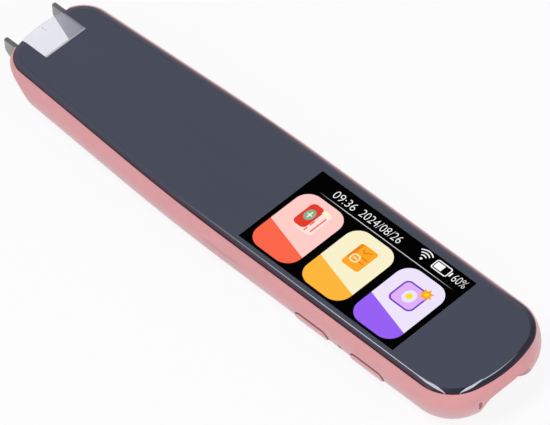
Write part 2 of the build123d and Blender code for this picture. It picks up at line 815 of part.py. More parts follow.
# ---------------------------------------------------------------- main board
with BuildPart() as main_board:
    with BuildSketch(Plane.XY.offset(board_height)):
        with Locations(((board_start_x + board_end_x) / 2, 0)):
            RectangleRounded(board_end_x - board_start_x, board_width, board_corner)
        with Locations(*boss_places):
            Circle(boss_radius + fit_gap, mode=Mode.SUBTRACT)
    extrude(amount=board_thickness)

with BuildPart() as shield_can:
    box_between(can_start_x, -shield_width / 2, board_top, can_end_x, shield_width / 2,
                board_top + shield_height)
    box_between(can_start_x + shield_sheet, -shield_width / 2 + shield_sheet, board_top,
                can_end_x - shield_sheet, shield_width / 2 - shield_sheet,
                board_top + shield_height - shield_sheet, mode=Mode.SUBTRACT)

with BuildPart() as processor:
    with Locations(((can_start_x + can_end_x) / 2, 0, board_top)):
        Box(chip_size, chip_size, chip_height, align=(Align.CENTER, Align.CENTER, Align.MIN))

with BuildPart() as memory_chip:
    with Locations((can_start_x - memory_gap, 0, board_top)):
        Box(memory_width, chip_size, chip_height, align=(Align.MAX, Align.CENTER, Align.MIN))

with BuildPart() as head_connector:
    box_between(connector_x, -flex_offset - flex_width / 2 - connector_margin, board_top,
                connector_x + connector_depth, -flex_offset + flex_width / 2 + connector_margin,
                board_top + connector_height)

with BuildPart() as battery_connector:
    box_between(connector_x, flex_offset - battery_flex_width / 2 - connector_margin, board_top,
                connector_x + connector_depth,
                flex_offset + battery_flex_width / 2 + connector_margin,
                board_top + connector_height)

with BuildPart() as display_connector:
    box_between(display_connector_x, -flex_width / 2 - connector_margin, board_top,
                display_connector_x + connector_depth, flex_width / 2 + connector_margin,
                board_top + connector_height)

with BuildPart() as wifi_antenna:
    box_between(flex_slot_x + antenna_gap, -antenna_width / 2, plate_top,
                flex_slot_x + antenna_gap + antenna_length, antenna_width / 2,
                plate_top + flex_thickness)

# ---------------------------------------------------------------- flexible circuits
head_flex_level = battery_top + flex_thickness
trigger_flex_x = spring_back_x + wall + trigger_flex_setback
display_flex_level = driver_ledge_top + flex_thickness / 2
display_flex_x = flex_slot_x + chassis_rib / 4

head_flex = flat_circuit(
    [
        (camera_back_x, head_flex_level), (board_start_x - connector_inset, head_flex_level),
        (board_start_x, connector_level), (connector_x, connector_level),
    ],
    -flex_offset, flex_width,
)
display_flex = flat_circuit(
    [
        (cell_end_x + driver_gap + driver_width + driver_gap, display_flex_level),
        (display_flex_x, display_flex_level), (display_flex_x, connector_level),
        (display_connector_x + connector_depth, connector_level),
    ],
    0.0, flex_width,
)

with BuildPart() as trigger_flex:
    box_between(trigger_flex_x, -trigger_tail_offset - trigger_tail_width / 2,
                trigger_board_top, trigger_flex_x + flex_thickness,
                -trigger_tail_offset + trigger_tail_width / 2,
                head_flex_level - flex_thickness / 2)

# ---------------------------------------------------------------- battery
with BuildPart() as battery_tape:
    box_between(battery_x + battery_tape_inset, -battery_tape_width / 2, floor_height,
                pouch_end_x - battery_tape_inset, battery_tape_width / 2, battery_base)

with BuildPart() as battery_cell:
    with BuildSketch(Plane.YZ.offset(battery_x)):
        with Locations((0, battery_base + battery_thickness / 2)):
            RectangleRounded(battery_width, battery_thickness, battery_round)
    extrude(amount=pouch_end_x - battery_x)

battery_board_top = battery_base + battery_board_rise + battery_board_thickness
with BuildPart() as battery_board:
    box_between(pouch_end_x, -battery_width / 2 + battery_round,
                battery_base + battery_board_rise, battery_end_x,
                battery_width / 2 - battery_round, battery_board_top)

battery_flex_level = battery_board_top + flex_thickness / 2
battery_flex = flat_circuit(
    [
        (pouch_end_x + flex_thickness, battery_flex_level),
        (battery_end_x + battery_flex_run, battery_flex_level),
        (board_start_x - connector_inset, connector_level), (connector_x, connector_level),
    ],
    flex_offset, battery_flex_width,
)

with BuildPart() as foam_pad:
    box_between(battery_x + foam_inset, fit_gap, battery_top, pouch_end_x - foam_inset,
                fit_gap + foam_width, chassis_base)

# ---------------------------------------------------------------- speaker and microphone
with BuildPart() as speaker_seal:
    with BuildSketch(Plane.XY.offset(floor_height)):
        with Locations((speaker_x, 0)):
            RectangleRounded(speaker_length, speaker_width, speaker_corner)
            Rectangle(speaker_length - 2 * speaker_frame, speaker_width - 2 * speaker_frame,
                      mode=Mode.SUBTRACT)
    extrude(amount=speaker_seal_thickness)

with BuildPart() as speaker:
    with BuildSketch(Plane.XY.offset(speaker_base)):
        with Locations((speaker_x, 0)):
            RectangleRounded(speaker_length, speaker_width, speaker_corner)
    extrude(amount=speaker_height)
    with BuildSketch(Plane.XY.offset(speaker_base)):
        with Locations((speaker_x, 0)):
            Rectangle(speaker_length - 2 * speaker_frame, speaker_width - 2 * speaker_frame)
    extrude(amount=speaker_recess, mode=Mode.SUBTRACT)

with BuildPart() as speaker_contacts:
    for side in (-1, 1):
        with Locations((speaker_x, side * contact_pitch / 2, speaker_base + speaker_height)):
            Box(contact_length, contact_width, board_height - speaker_base - speaker_height,
                align=(Align.CENTER, Align.CENTER, Align.MIN))

with BuildPart() as microphone:
    box_between(mic_x - mic_length / 2, -switch_face, board_height - mic_height,
                mic_x + mic_length / 2, -switch_face + mic_depth, board_height)

with BuildPart() as mic_boot:
    box_between(mic_x - mic_boot_length / 2, -flange_outer, key_level - mic_boot_length / 2,
                mic_x + mic_boot_length / 2, -switch_face, board_height)
    with BuildSketch(Plane.XZ.offset(switch_face)):
        with Locations((mic_x, key_level)):
            Circle(mic_hole_radius)
    extrude(amount=flange_outer - switch_face, mode=Mode.SUBTRACT)

# ---------------------------------------------------------------- charging port
port_back_x = scoop_wall_x - port_depth

with BuildPart() as port_shell:
    with BuildSketch(Plane.YZ.offset(port_back_x)):
        with Locations((0, port_level)):
            SlotOverall(port_width, port_height)
    extrude(amount=port_depth)
    with BuildSketch(Plane.YZ.offset(port_back_x + port_sheet)):
        with Locations((0, port_level)):
            SlotOverall(port_width - 2 * port_sheet, port_height - 2 * port_sheet)
    extrude(amount=port_depth, mode=Mode.SUBTRACT)

with BuildPart() as port_tongue:
    with BuildSketch(Plane.YZ.offset(port_back_x + port_sheet)):
        with Locations((0, port_level)):
            RectangleRounded(port_tongue_width, port_tongue_thickness, port_tongue_corner)
    extrude(amount=port_depth - port_sheet - port_tongue_setback)

# ---------------------------------------------------------------- side keys
key_crown = case_form(key_proud)


def side_key(x):
    """Pill-shaped key: crowned face, flange behind the wall, nub over its switch."""
    with BuildPart() as key:
        with BuildSketch(Plane.XZ.offset(flange_outer)):
            with Locations((x, key_level)):
                SlotOverall(key_length, key_height)
        extrude(amount=glass_width / 2)
        add(key_crown, mode=Mode.INTERSECT)
        chamfer(key.faces().sort_by(Axis.Y)[0].edges(), key_edge)
        with BuildSketch(Plane.XZ.offset(flange_inner)):
            with Locations((x, key_level)):
                SlotOverall(key_length + 2 * key_flange, key_height + 2 * key_flange)
        extrude(amount=key_flange)
        with BuildSketch(Plane.XZ.offset(plunger_tip)):
            with Locations((x, key_level)):
                Circle(key_nub_radius)
        extrude(amount=flange_inner - plunger_tip)
    return key


def key_plunger(x):
    """Round plunger that the key's nub pushes into its switch."""
    with BuildPart() as plunger:
        with BuildSketch(Plane.XZ.offset(plunger_tip)):
            with Locations((x, key_level)):
                Circle(plunger_radius)
        extrude(amount=-2 * plunger_reach)
    return plunger


def key_switch(x):
    """Side-push switch under the board, bored for its plunger."""
    with BuildPart() as switch:
        box_between(x - switch_length / 2, -switch_face, board_height - switch_height,
                    x + switch_length / 2, -switch_face + switch_depth, board_height)
        with BuildSketch(Plane.XZ.offset(switch_face)):
            with Locations((x, key_level)):
                Circle(plunger_radius + slide_gap)
        extrude(amount=-plunger_reach - key_travel - slide_gap, mode=Mode.SUBTRACT)
    return switch


# ---------------------------------------------------------------- write
pieces = {
    "rear_housing": rear_housing,
    "cover_glass": cover_glass,
    "tip_window": tip_window,
    "glass_tape": glass_tape,
    "scan_trigger": scan_trigger,
    "trigger_springs": trigger_springs,
    "trigger_plunger": trigger_plunger,
    "trigger_switch": trigger_switch,
    "trigger_board": trigger_board,
    "trigger_flex": trigger_flex,
    "optics_hood": optics_hood,
    "light_guide": light_guide,
    "scan_leds": scan_leds,
    "light_board": light_board,
    "camera_module": camera_module,
    "camera_lens": camera_lens,
    "display_cell": display_cell,
    "display_driver": display_driver,
    "display_backlight": display_backlight,
    "display_flex": display_flex,
    "display_connector": display_connector,
    "mid_frame": mid_frame,
    "chassis_screws": chassis_screws,
    "main_board": main_board,
    "shield_can": shield_can,
    "processor": processor,
    "memory_chip": memory_chip,
    "wifi_antenna": wifi_antenna,
    "head_flex": head_flex,
    "head_connector": head_connector,
    "battery_cell": battery_cell,
    "battery_board": battery_board,
    "battery_tape": battery_tape,
    "battery_flex": battery_flex,
    "battery_connector": battery_connector,
    "foam_pad": foam_pad,
    "speaker": speaker,
    "speaker_seal": speaker_seal,
    "speaker_contacts": speaker_contacts,
    "microphone": microphone,
    "mic_boot": mic_boot,
    "port_shell": port_shell,
    "port_tongue": port_tongue,
}
for name, x in zip(("front_key", "rear_key"), key_centres):
    pieces[name] = side_key(x)
    pieces[f"{name}_plunger"] = key_plunger(x)
    pieces[f"{name}_switch"] = key_switch(x)

os.makedirs("parts", exist_ok=True)
for name, piece in pieces.items():
    piece.part.label = name
    export_step(piece.part, f"parts/{name}.step")
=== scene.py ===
import functools
import json
import logging
import math
from dataclasses import dataclass, field
from enum import Enum
from typing import Optional, Sequence, Union

import bmesh
import bpy
from mathutils import Matrix, Quaternion, Vector


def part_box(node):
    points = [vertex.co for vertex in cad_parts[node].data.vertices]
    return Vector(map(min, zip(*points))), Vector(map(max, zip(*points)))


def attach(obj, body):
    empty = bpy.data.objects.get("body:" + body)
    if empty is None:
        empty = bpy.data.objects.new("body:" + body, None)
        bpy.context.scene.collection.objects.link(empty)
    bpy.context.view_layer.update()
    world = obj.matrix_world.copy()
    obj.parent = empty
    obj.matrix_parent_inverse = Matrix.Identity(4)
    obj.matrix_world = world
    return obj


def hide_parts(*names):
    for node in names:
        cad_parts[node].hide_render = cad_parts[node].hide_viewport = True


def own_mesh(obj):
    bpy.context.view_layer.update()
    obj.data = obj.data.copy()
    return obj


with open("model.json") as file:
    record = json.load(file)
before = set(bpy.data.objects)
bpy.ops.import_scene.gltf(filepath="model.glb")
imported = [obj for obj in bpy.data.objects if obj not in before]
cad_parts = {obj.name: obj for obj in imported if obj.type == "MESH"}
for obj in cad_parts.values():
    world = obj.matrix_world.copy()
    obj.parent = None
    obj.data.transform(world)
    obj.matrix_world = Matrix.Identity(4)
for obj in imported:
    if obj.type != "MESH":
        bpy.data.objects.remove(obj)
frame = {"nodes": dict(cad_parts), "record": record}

MM = 0.001
LOG = logging.getLogger("translator")
Colour = tuple[float, float, float, float]
Point = tuple[float, float]
Place = tuple[float, float, float]
Ramp = tuple[float, float]  # where a soft edge is half way, and how wide it is
Lift = tuple[float, float]  # the least value, and what a full pattern adds to it
BLACK: Colour = (0.0, 0.0, 0.0, 1.0)
WHITE: Colour = (1.0, 1.0, 1.0, 1.0)


def paint(red: int, green: int, blue: int) -> Colour:
    """Gives the linear colour of a paint.

    Args:
        red: Screen value from 0 to 255.
        green: Screen value from 0 to 255.
        blue: Screen value from 0 to 255.

    Returns:
        The linear colour with full opacity.
    """
    def channel(value: int) -> float:
        """One channel, by the standard curve of a screen."""
        share = value / 255
        return share / 12.92 if share <= 0.04045 else ((share + 0.055) / 1.055) ** 2.4
    return (channel(red), channel(green), channel(blue), 1.0)


def dim(colour: Colour, share: float) -> Colour:
    """Gives a colour with only a share of its light."""
    return (*(channel * share for channel in colour[:3]), 1.0)


class Body(Enum):
    """The bodies that the pieces ride on."""

    PEN = "pen"
    TRIGGER = "trigger"
    FRONT_KEY = "front_key"
    REAR_KEY = "rear_key"


class Grain(Enum):
    """The way in which a metal was brushed or drawn."""

    LENGTHWISE = (1.0, 14.0, 14.0)
    CROSSWISE = (14.0, 1.0, 14.0)


# ------------------------------------------------------------------ shader graphs
class Wire:
    """A shader socket that sums can be written with."""

    def __init__(self, graph: "Graph", socket: bpy.types.NodeSocket) -> None:
        """Wraps a socket of a graph."""
        self.graph = graph
        self.socket = socket

    def _maths(self, operation: str, first: "Term", second: "Term" = 0.0) -> "Wire":
        """Adds the Math node of one operation."""
        return self.graph.wire("ShaderNodeMath", {"operation": operation}, {0: first, 1: second})

    def __add__(self, other: "Term") -> "Wire":
        """Sum."""
        return self._maths("ADD", self, other)

    def __radd__(self, other: "Term") -> "Wire":
        """Sum."""
        return self._maths("ADD", other, self)

    def __sub__(self, other: "Term") -> "Wire":
        """Difference."""
        return self._maths("SUBTRACT", self, other)

    def __rsub__(self, other: "Term") -> "Wire":
        """Difference."""
        return self._maths("SUBTRACT", other, self)

    def __mul__(self, other: "Term") -> "Wire":
        """Product."""
        return self._maths("MULTIPLY", self, other)

    def __rmul__(self, other: "Term") -> "Wire":
        """Product."""
        return self._maths("MULTIPLY", other, self)

    def __truediv__(self, other: "Term") -> "Wire":
        """Quotient."""
        return self._maths("DIVIDE", self, other)

    def __abs__(self) -> "Wire":
        """Size without its sign."""
        return self._maths("ABSOLUTE", self)

    def least(self, other: "Term") -> "Wire":
        """The smaller of the two."""
        return self._maths("MINIMUM", self, other)

    def most(self, other: "Term") -> "Wire":
        """The larger of the two."""
        return self._maths("MAXIMUM", self, other)

    def fraction(self) -> "Wire":
        """What is left after the whole numbers."""
        return self._maths("FRACT", self)

    def root(self) -> "Wire":
        """Square root."""
        return self._maths("SQRT", self)

    def distance(self, other: "Wire") -> "Wire":
        """Straight distance of a place that lies so far away both ways."""
        return (self * self + other * other).root()

    def over(self, edge: float, soft: float) -> "Wire":
        """Mask that rises from 0 to 1 past an edge, over a soft width."""
        ramp = (self - (edge - soft / 2)) / soft
        return ramp.least(1.0).most(0.0)

    def under(self, edge: float, soft: float) -> "Wire":
        """Mask that falls from 1 to 0 past an edge, over a soft width."""
        return 1 - self.over(edge, soft)

    def lift(self, least: float, more: float) -> "Wire":
        """The least value, and so much more where this pattern is full."""
        return least + self * more

    def off_middle(self, pitch: float) -> "Wire":
        """Distance from the middle of each step, as a share of the pitch."""
        return abs((self / pitch).fraction() - 0.5)

    def stripes(self, pitch: float, gap: float, soft: float) -> "Wire":
        """Mask of stripes at a pitch, each after a gap that is a share of it."""
        return (self / pitch).fraction().over(gap, soft)


Term = Union[Wire, float]


class Graph:
    """The nodes of one material or world, all added through one method."""

    def __init__(self, holder: Union[bpy.types.Material, bpy.types.World]) -> None:
        """Empties the nodes of a material or world.

        Args:
            holder: The material or world.
        """
        holder.use_nodes = True
        self.holder = holder
        self.tree = holder.node_tree
        self.tree.nodes.clear()

    def node(self, kind: str, settings: Optional[dict] = None,
             values: Optional[dict] = None) -> bpy.types.Node:
        """Adds any node.

        Args:
            kind: The node's type.
            settings: What is set on the node itself, first of all.
            values: What its sockets get, numbers or wires, by name or place.

        Returns:
            The new node.
        """
        made = self.tree.nodes.new(kind)
        for key, value in (settings or {}).items():
            setattr(made, key, value)
        for key, value in (values or {}).items():
            if isinstance(value, Wire):
                self.tree.links.new(value.socket, made.inputs[key])
            else:
                made.inputs[key].default_value = value
        return made

    def wire(self, kind: str, settings: Optional[dict] = None,
             values: Optional[dict] = None, output: Union[int, str] = 0) -> Wire:
        """Adds any node and gives one of its outputs as a wire."""
        return Wire(self, self.node(kind, settings, values).outputs[output])

    def place(self) -> tuple[Wire, Wire, Wire]:
        """Splits the place on the object.

        Returns:
            Its x, y and z in millimetres.
        """
        split = self.node("ShaderNodeSeparateXYZ", None,
                          {0: self.wire("ShaderNodeTexCoord", None, None, "Object")})
        x, y, z = (Wire(self, socket) / MM for socket in split.outputs)
        return x, y, z

    def spread(self, stretch: Sequence[float] = (1.0, 1.0, 1.0)) -> Wire:
        """Gives object coordinates stretched for a texture."""
        place = self.wire("ShaderNodeTexCoord", None, None, "Object")
        return self.wire("ShaderNodeMapping", None, {"Vector": place, "Scale": tuple(stretch)})

    def noise(self, size: float, detail: float = 2.0,
              stretch: Sequence[float] = (1.0, 1.0, 1.0)) -> Wire:
        """Gives a cloudy value.

        Args:
            size: Size of one cloud in millimetres.
            detail: How many finer layers it has.
            stretch: How much finer it is along x, y and z.

        Returns:
            A value from 0 to 1 about 0.5.
        """
        return self.wire("ShaderNodeTexNoise", None,
                         {"Vector": self.spread(stretch), "Scale": 1 / (size * MM),
                          "Detail": detail})

    def cells(self, size: float, output: str = "Distance", metric: str = "EUCLIDEAN") -> Wire:
        """Gives a cell pattern with cells of a size in millimetres."""
        return self.wire("ShaderNodeTexVoronoi", {"distance": metric},
                         {"Vector": self.spread(), "Scale": 1 / (size * MM)}, output)

    def blend(self, share: Term, first: Union[Wire, Colour], second: Union[Wire, Colour]) -> Wire:
        """Mixes two colours, the second one by the share."""
        return self.wire("ShaderNodeMix", {"data_type": "RGBA"}, {0: share, 6: first, 7: second}, 2)

    def either(self, share: Term, first: Wire, second: Wire) -> Wire:
        """Mixes two shaders, the second one by the share."""
        return self.wire("ShaderNodeMixShader", None, {0: share, 1: first, 2: second})

    def inside(self, low: Point, high: Point, soft: float) -> Wire:
        """Gives the mask of a rectangle in plan.

        Args:
            low: Its lowest x and y in millimetres.
            high: Its highest x and y.
            soft: Width of its soft edge.

        Returns:
            1 inside and 0 outside.
        """
        x, y, _ = self.place()
        across = x.over(low[0], soft) * x.under(high[0], soft)
        return across * y.over(low[1], soft) * y.under(high[1], soft)

    def seen(self) -> Wire:
        """Gives the mask of rays that see a backdrop.

        Returns:
            1 for the rays that are direct, mirrored or let through.
        """
        path = self.node("ShaderNodeLightPath")
        seen = Wire(self, path.outputs["Is Camera Ray"])
        for kind in ("Is Glossy Ray", "Is Transmission Ray"):
            seen = seen.most(Wire(self, path.outputs[kind]))
        return seen

    def relief(self, height: Wire, depth: float) -> Wire:
        """Gives the normal of a surface whose height varies by a depth in millimetres."""
        return self.wire("ShaderNodeBump", None,
                         {"Height": height, "Distance": depth * MM, "Strength": 1.0})

    def surface(self, **values: Union[Term, Colour]) -> bpy.types.Material:
        """Ends the graph in a surface shader, its sockets named with _ for each space."""
        named = {key.replace("_", " "): value for key, value in values.items()}
        return self.end(self.wire("ShaderNodeBsdfPrincipled", None, named))

    def end(self, shader: Wire) -> Union[bpy.types.Material, bpy.types.World]:
        """Joins the last shader to the output.

        Args:
            shader: The last shader.

        Returns:
            The finished material or world.
        """
        kind = "World" if isinstance(self.holder, bpy.types.World) else "Material"
        self.node(f"ShaderNodeOutput{kind}", None, {0: shader})
        return self.holder


# ------------------------------------------------------------------ finishes
@dataclass(frozen=True)
class Finish:
    """A finish that several pieces may share."""

    name: str

    @functools.cache
    def material(self) -> bpy.types.Material:
        """The finish as a material, made the first time it is asked for."""
        return self.make(Graph(bpy.data.materials.new(self.name)))

    def make(self, graph: Graph) -> bpy.types.Material:
        """Builds the nodes in an empty graph and gives the finished material."""
        raise NotImplementedError


@dataclass(frozen=True)
class Moulded(Finish):
    """Moulded plastic or rubber with a fine eroded grain."""

    colour: Colour
    shade: Colour
    roughness: float = 0.5
    grain: float = 0.3
    depth: float = 0.004
    sheen: float = 0.0
    gloss: float = 0.5
    uneven: float = 0.16
    cloud: float = 9.0

    def make(self, graph: Graph) -> bpy.types.Material:
        """Mottled colour, grained relief and uneven gloss."""
        grain = graph.noise(self.grain, 3.0)
        return graph.surface(
            Base_Color=self.tone(graph),
            Roughness=(grain - 0.5).lift(self.roughness, self.uneven),
            Normal=graph.relief(grain, self.depth),
            Specular_IOR_Level=self.gloss,
            Sheen_Weight=self.sheen,
        )

    def tone(self, graph: Graph) -> Wire:
        """Colour of the plastic: large faint clouds."""
        return graph.blend(graph.noise(self.cloud, 3.0), self.colour, self.shade)


@dataclass(frozen=True)
class KeyPlastic(Moulded):
    """Plastic of the keys, pale towards the back with painted sheen, and with painted shade down
    their sides.
    """

    # painted sheen: the paler colour towards the back and the side without keys
    under: Colour = WHITE
    # painted shade: the dark colour where the key goes down into its slot, and round the slots on
    # the case
    painted_dark: Colour = BLACK
    turn: Ramp = (6.2, 3.6)
    far_side_sheen: Ramp = (9.0, 4.0)
    middle: Point = (37.2, 4.6)
    spacing: float = 7.9
    reach: float = 3.1
    radius: float = 1.44
    crisp: float = 0.12

    def tone(self, graph: Graph) -> Wire:
        """Painted shade, dark where the key goes down into its slot."""
        painted_dark = self._from_middle(graph).over(self.radius, self.crisp)
        return graph.blend(painted_dark, self._tone_with_painted_sheen(graph), self.painted_dark)

    def _tone_with_painted_sheen(self, graph: Graph) -> Wire:
        """Clouds of colour with painted sheen that pales them towards the back and the side without
        keys.

        Args:
            graph: The material's graph.

        Returns:
            The colour.
        """
        _, y, z = graph.place()
        # painted sheen: paler towards the back and on the side without keys
        share = z.under(*self.turn).most(y.over(*self.far_side_sheen))
        return graph.blend(share, super().tone(graph), self.under)

    def _from_middle(self, graph: Graph) -> Wire:
        """Distance from the middle line of the nearer key, seen from the side.

        Args:
            graph: The material's graph.

        Returns:
            The distance in millimetres.
        """
        x, _, z = graph.place()
        along = (abs(abs(x - self.middle[0]) - self.spacing) - self.reach).most(0.0)
        return along.distance(z - self.middle[1])


@dataclass(frozen=True)
class CasePlastic(KeyPlastic):
    """Plastic of the case, with painted shade in its key slots, thumb groove and microphone hole.
    """

    crisp: float = 0.1
    ring: float = 0.12
    hole_radius: float = 0.66
    groove_middle: float = 3.7
    groove_reach: float = 6.9
    groove_top: float = 7.7
    groove_fade: Ramp = (6.1, 5.0)
    groove_shade_share: float = 0.4
    key_side: float = -11.0

    def tone(self, graph: Graph) -> Wire:
        """Painted shade round the slots, under the crisp top edge of the groove and in the hole.

        Args:
            graph: The material's graph.

        Returns:
            The colour.
        """
        x, y, z = graph.place()
        # painted shade in the thumb groove, strongest under its crisp top edge
        reach = abs(x - self.groove_middle) / self.groove_reach
        lens = (1 - reach * reach).most(0.0) * z.under(self.groove_top, self.crisp)
        groove = lens * z.over(*self.groove_fade) * self.groove_shade_share
        # painted shade in a thin ring round each key slot
        slots = abs(self._from_middle(graph) - self.radius).under(self.ring, self.crisp)
        # painted shade in the microphone hole
        off = (x - self.middle[0]).distance(z - self.middle[1])
        hole = off.under(self.hole_radius, self.crisp)
        # all the painted shade, only on the side of the keys
        shade = groove.most(slots).most(hole) * y.under(self.key_side, self.crisp)
        return graph.blend(shade, self._tone_with_painted_sheen(graph), self.painted_dark)


@dataclass(frozen=True)
class ProngPlastic(Moulded):
    """Plastic of the prongs, with painted shade: darker the further it is inside the case."""

    # painted shade: the darker colour further inside the case
    inner: Colour = BLACK
    fade: Ramp = (-68.5, 7.0)

    def tone(self, graph: Graph) -> Wire:
        """Clouds of colour with painted shade that darkens them away from the tip."""
        x, _, _ = graph.place()
        return graph.blend(x.over(*self.fade), super().tone(graph), self.inner)


@dataclass(frozen=True)
class SlateGlass(Finish):
    """Glass printed slate grey behind, clear over the display."""

    colour: Colour
    shade: Colour
    low: Point
    high: Point
    crisp: float = 0.05
    roughness: Lift = (0.05, 0.06)
    wipe: float = 22.0
    stretch: Place = (1.0, 2.5, 1.0)

    def make(self, graph: Graph) -> bpy.types.Material:
        """Even colour with the faintest wiping marks, and a clear window."""
        wiped = graph.noise(self.wipe, 2.0, self.stretch)
        return graph.surface(
            Base_Color=graph.blend(wiped, self.colour, self.shade),
            Roughness=wiped.lift(*self.roughness),
            Alpha=1 - graph.inside(self.low, self.high, self.crisp),
        )


@dataclass(frozen=True)
class GlassOutline:
    """Outline of the front glass on the side of the keys, in millimetres."""

    side: float = -14.65
    slope: float = 0.05144
    shoulder: float = -11.8
    end_middle: float = 40.45
    end_radius: float = 29.0
    corner: Point = (59.64, -5.65)
    corner_radius: float = 9.0
    seam: float = 0.01

    def taper(self, x: Wire) -> Wire:
        """How far the side has come in on its way to the tip."""
        return (self.shoulder - x).most(0.0) * self.slope

    def inset(self, x: Wire, y: Wire) -> Wire:
        """Measures how far in from the outline a place lies.

        Args:
            x: Its place along the pen.
            y: Its place across the pen, below 0 on the side of the keys.

        Returns:
            The distance in millimetres.
        """
        along = y - self.side - self.taper(x)
        out = (x - self.end_middle).most(0.0)
        end = self.end_radius - out.distance(y)
        right, down = x - self.corner[0], y - self.corner[1]
        corner = self.corner_radius - right.distance(down)
        lean = self.corner[1] / (self.corner[0] - self.end_middle)
        sector = right.over(0.0, self.seam) * (out * lean - y).over(0.0, self.seam)
        return along.least(end) * (1 - sector) + corner * sector


@dataclass(frozen=True)
class Strip:
    """A painted highlight: a strip of light painted on the ground edge of the glass."""

    middle: float
    width: float = 0.08
    soft: float = 0.05

    def line(self, width: Term, off: Wire) -> Wire:
        """Mask of the places that are less than a width off the middle line."""
        return (width - off).over(0.0, self.soft)


@dataclass(frozen=True)
class SideStrip(Strip):
    """Painted highlight along the side of the keys, widest before the corner."""

    middle: float = -13.72
    turn: float = 60.0
    bend: float = 0.13
    flare: float = 0.21
    widening: Ramp = (59.4, 4.0)
    stop: Ramp = (63.9, 2.4)
    bright: Ramp = (14.0, 54.0)

    def mask(self, x: Wire, y: Wire, outline: GlassOutline) -> Wire:
        """Gives the mask of the painted highlight.

        Args:
            x: Place along the pen.
            y: Place across the pen.
            outline: The outline that it runs along.

        Returns:
            A mask from 0 to 1.
        """
        middle = (x - self.turn).most(0.0) * self.bend + outline.taper(x) + self.middle
        width = (x.over(*self.widening) * self.flare + self.width) * x.under(*self.stop)
        return self.line(width, abs(y - middle)) * x.over(*self.bright)


@dataclass(frozen=True)
class EndStrip(Strip):
    """Painted highlight along the charging end, widest beside the corner."""

    middle: float = 68.5
    lean: float = 0.115
    hook: float = 0.35
    hooked: Ramp = (-9.4, 2.6)
    flare: float = 0.19
    widening: Ramp = (-6.4, 4.0)
    start: Ramp = (-10.3, 1.8)
    change: Ramp = (-5.5, 0.4)
    inset: float = 0.95
    fade: Ramp = (1.0, 8.0)
    near_end: Ramp = (60.0, 0.1)

    def mask(self, x: Wire, y: Wire, edge: Wire) -> Wire:
        """Gives the mask of the painted highlight: a flare beside the corner, and a fine line after
        it.

        Args:
            x: Place along the pen.
            y: Place across the pen.
            edge: Distance in from the edge of the glass.

        Returns:
            A mask from 0 to 1.
        """
        middle = y * self.lean + self.middle - y.under(*self.hooked) * self.hook
        width = (y.under(*self.widening) * self.flare + self.width) * y.over(*self.start)
        flare = self.line(width, abs(x - middle)) * y.under(*self.change)
        line = self.line(self.width, abs(edge - self.inset)) * y.over(*self.change)
        return (flare + line * y.under(*self.fade)) * x.over(*self.near_end)


@dataclass(frozen=True)
class GroundGlass(Finish):
    """Ground and polished edge of the glass, coloured with painted reflections of the pink rim and
    painted highlights.
    """

    face: Colour
    # painted reflection of the pink rim near the outer edge
    rim: Colour
    # painted darkness of the edge at the charging end and its corner
    painted_dark: Colour
    # colour of the painted highlights
    light: Colour
    # painted reflection of the pink rim on the side away from the keys
    blush: Colour
    outline: GlassOutline = GlassOutline()
    side_strip: SideStrip = SideStrip()
    end_strip: EndStrip = EndStrip()
    rim_share: float = 0.9
    rim_edge: Ramp = (0.38, 0.7)
    rim_across: Ramp = (0.0, 20.0)
    rim_across_loss: float = 0.75
    rim_along: Ramp = (-25.0, 40.0)
    rim_along_least: float = 0.4
    painted_dark_along: Ramp = (63.0, 5.0)
    painted_dark_inner: Ramp = (1.1, 0.2)
    painted_dark_outer: Ramp = (0.1, 0.1)
    pink_reflection_edge: Ramp = (0.3, 0.9)
    pink_reflection_across: Ramp = (6.0, 4.0)
    pink_reflection_along: Ramp = (56.0, 5.0)
    grit: float = 0.8
    grit_share: float = 0.1
    roughness: Lift = (0.1, 0.1)

    def make(self, graph: Graph) -> bpy.types.Material:
        """Slate that goes over into a painted reflection of the rim's red, with painted highlights.

        Args:
            graph: The material's empty graph.

        Returns:
            The finished material.
        """
        x, y, _ = graph.place()
        ground = graph.noise(self.grit)
        edge = self.outline.inset(x, 0 - abs(y))
        # painted highlights: strips of light along the side of the keys and the charging end
        lit = self.side_strip.mask(x, y, self.outline).most(self.end_strip.mask(x, y, edge))
        return graph.surface(
            Base_Color=graph.blend(lit, self._band(graph, ground, edge), self.light),
            Roughness=ground.lift(*self.roughness),
            Specular_IOR_Level=0.15,
        )

    def _band(self, graph: Graph, ground: Wire, edge: Wire) -> Wire:
        """Colour of the edge: slate, a painted reflection of the rim's red, painted dark blue at
        the end and a painted pink reflection on the side away from the keys.

        Args:
            graph: The material's graph.
            ground: The marks of grinding.
            edge: Distance in from the edge of the glass.

        Returns:
            The colour without the strips of light.
        """
        x, y, _ = graph.place()
        least = self.rim_along_least
        # painted reflection of the pink rim: strongest at the outer edge, weaker across the glass
        # and towards the tip
        red = ((1 - y.over(*self.rim_across) * self.rim_across_loss)
               * (x.over(*self.rim_along) * (1 - least) + least))
        share = (edge.under(*self.rim_edge) * red * self.rim_share
                 + (ground - 0.5) * self.grit_share)
        band = graph.blend(share, self.face, self.rim)
        # painted darkness at the charging end and its corner
        end = x.over(*self.painted_dark_along) * edge.under(*self.painted_dark_inner) * edge.over(*self.painted_dark_outer)
        band = graph.blend(end, band, self.painted_dark)
        # painted pink reflection on the side away from the keys, short of the charging end
        pink_reflection = (edge.under(*self.pink_reflection_edge) * y.over(*self.pink_reflection_across)
                * x.under(*self.pink_reflection_along))
        return graph.blend(pink_reflection, band, self.blush)


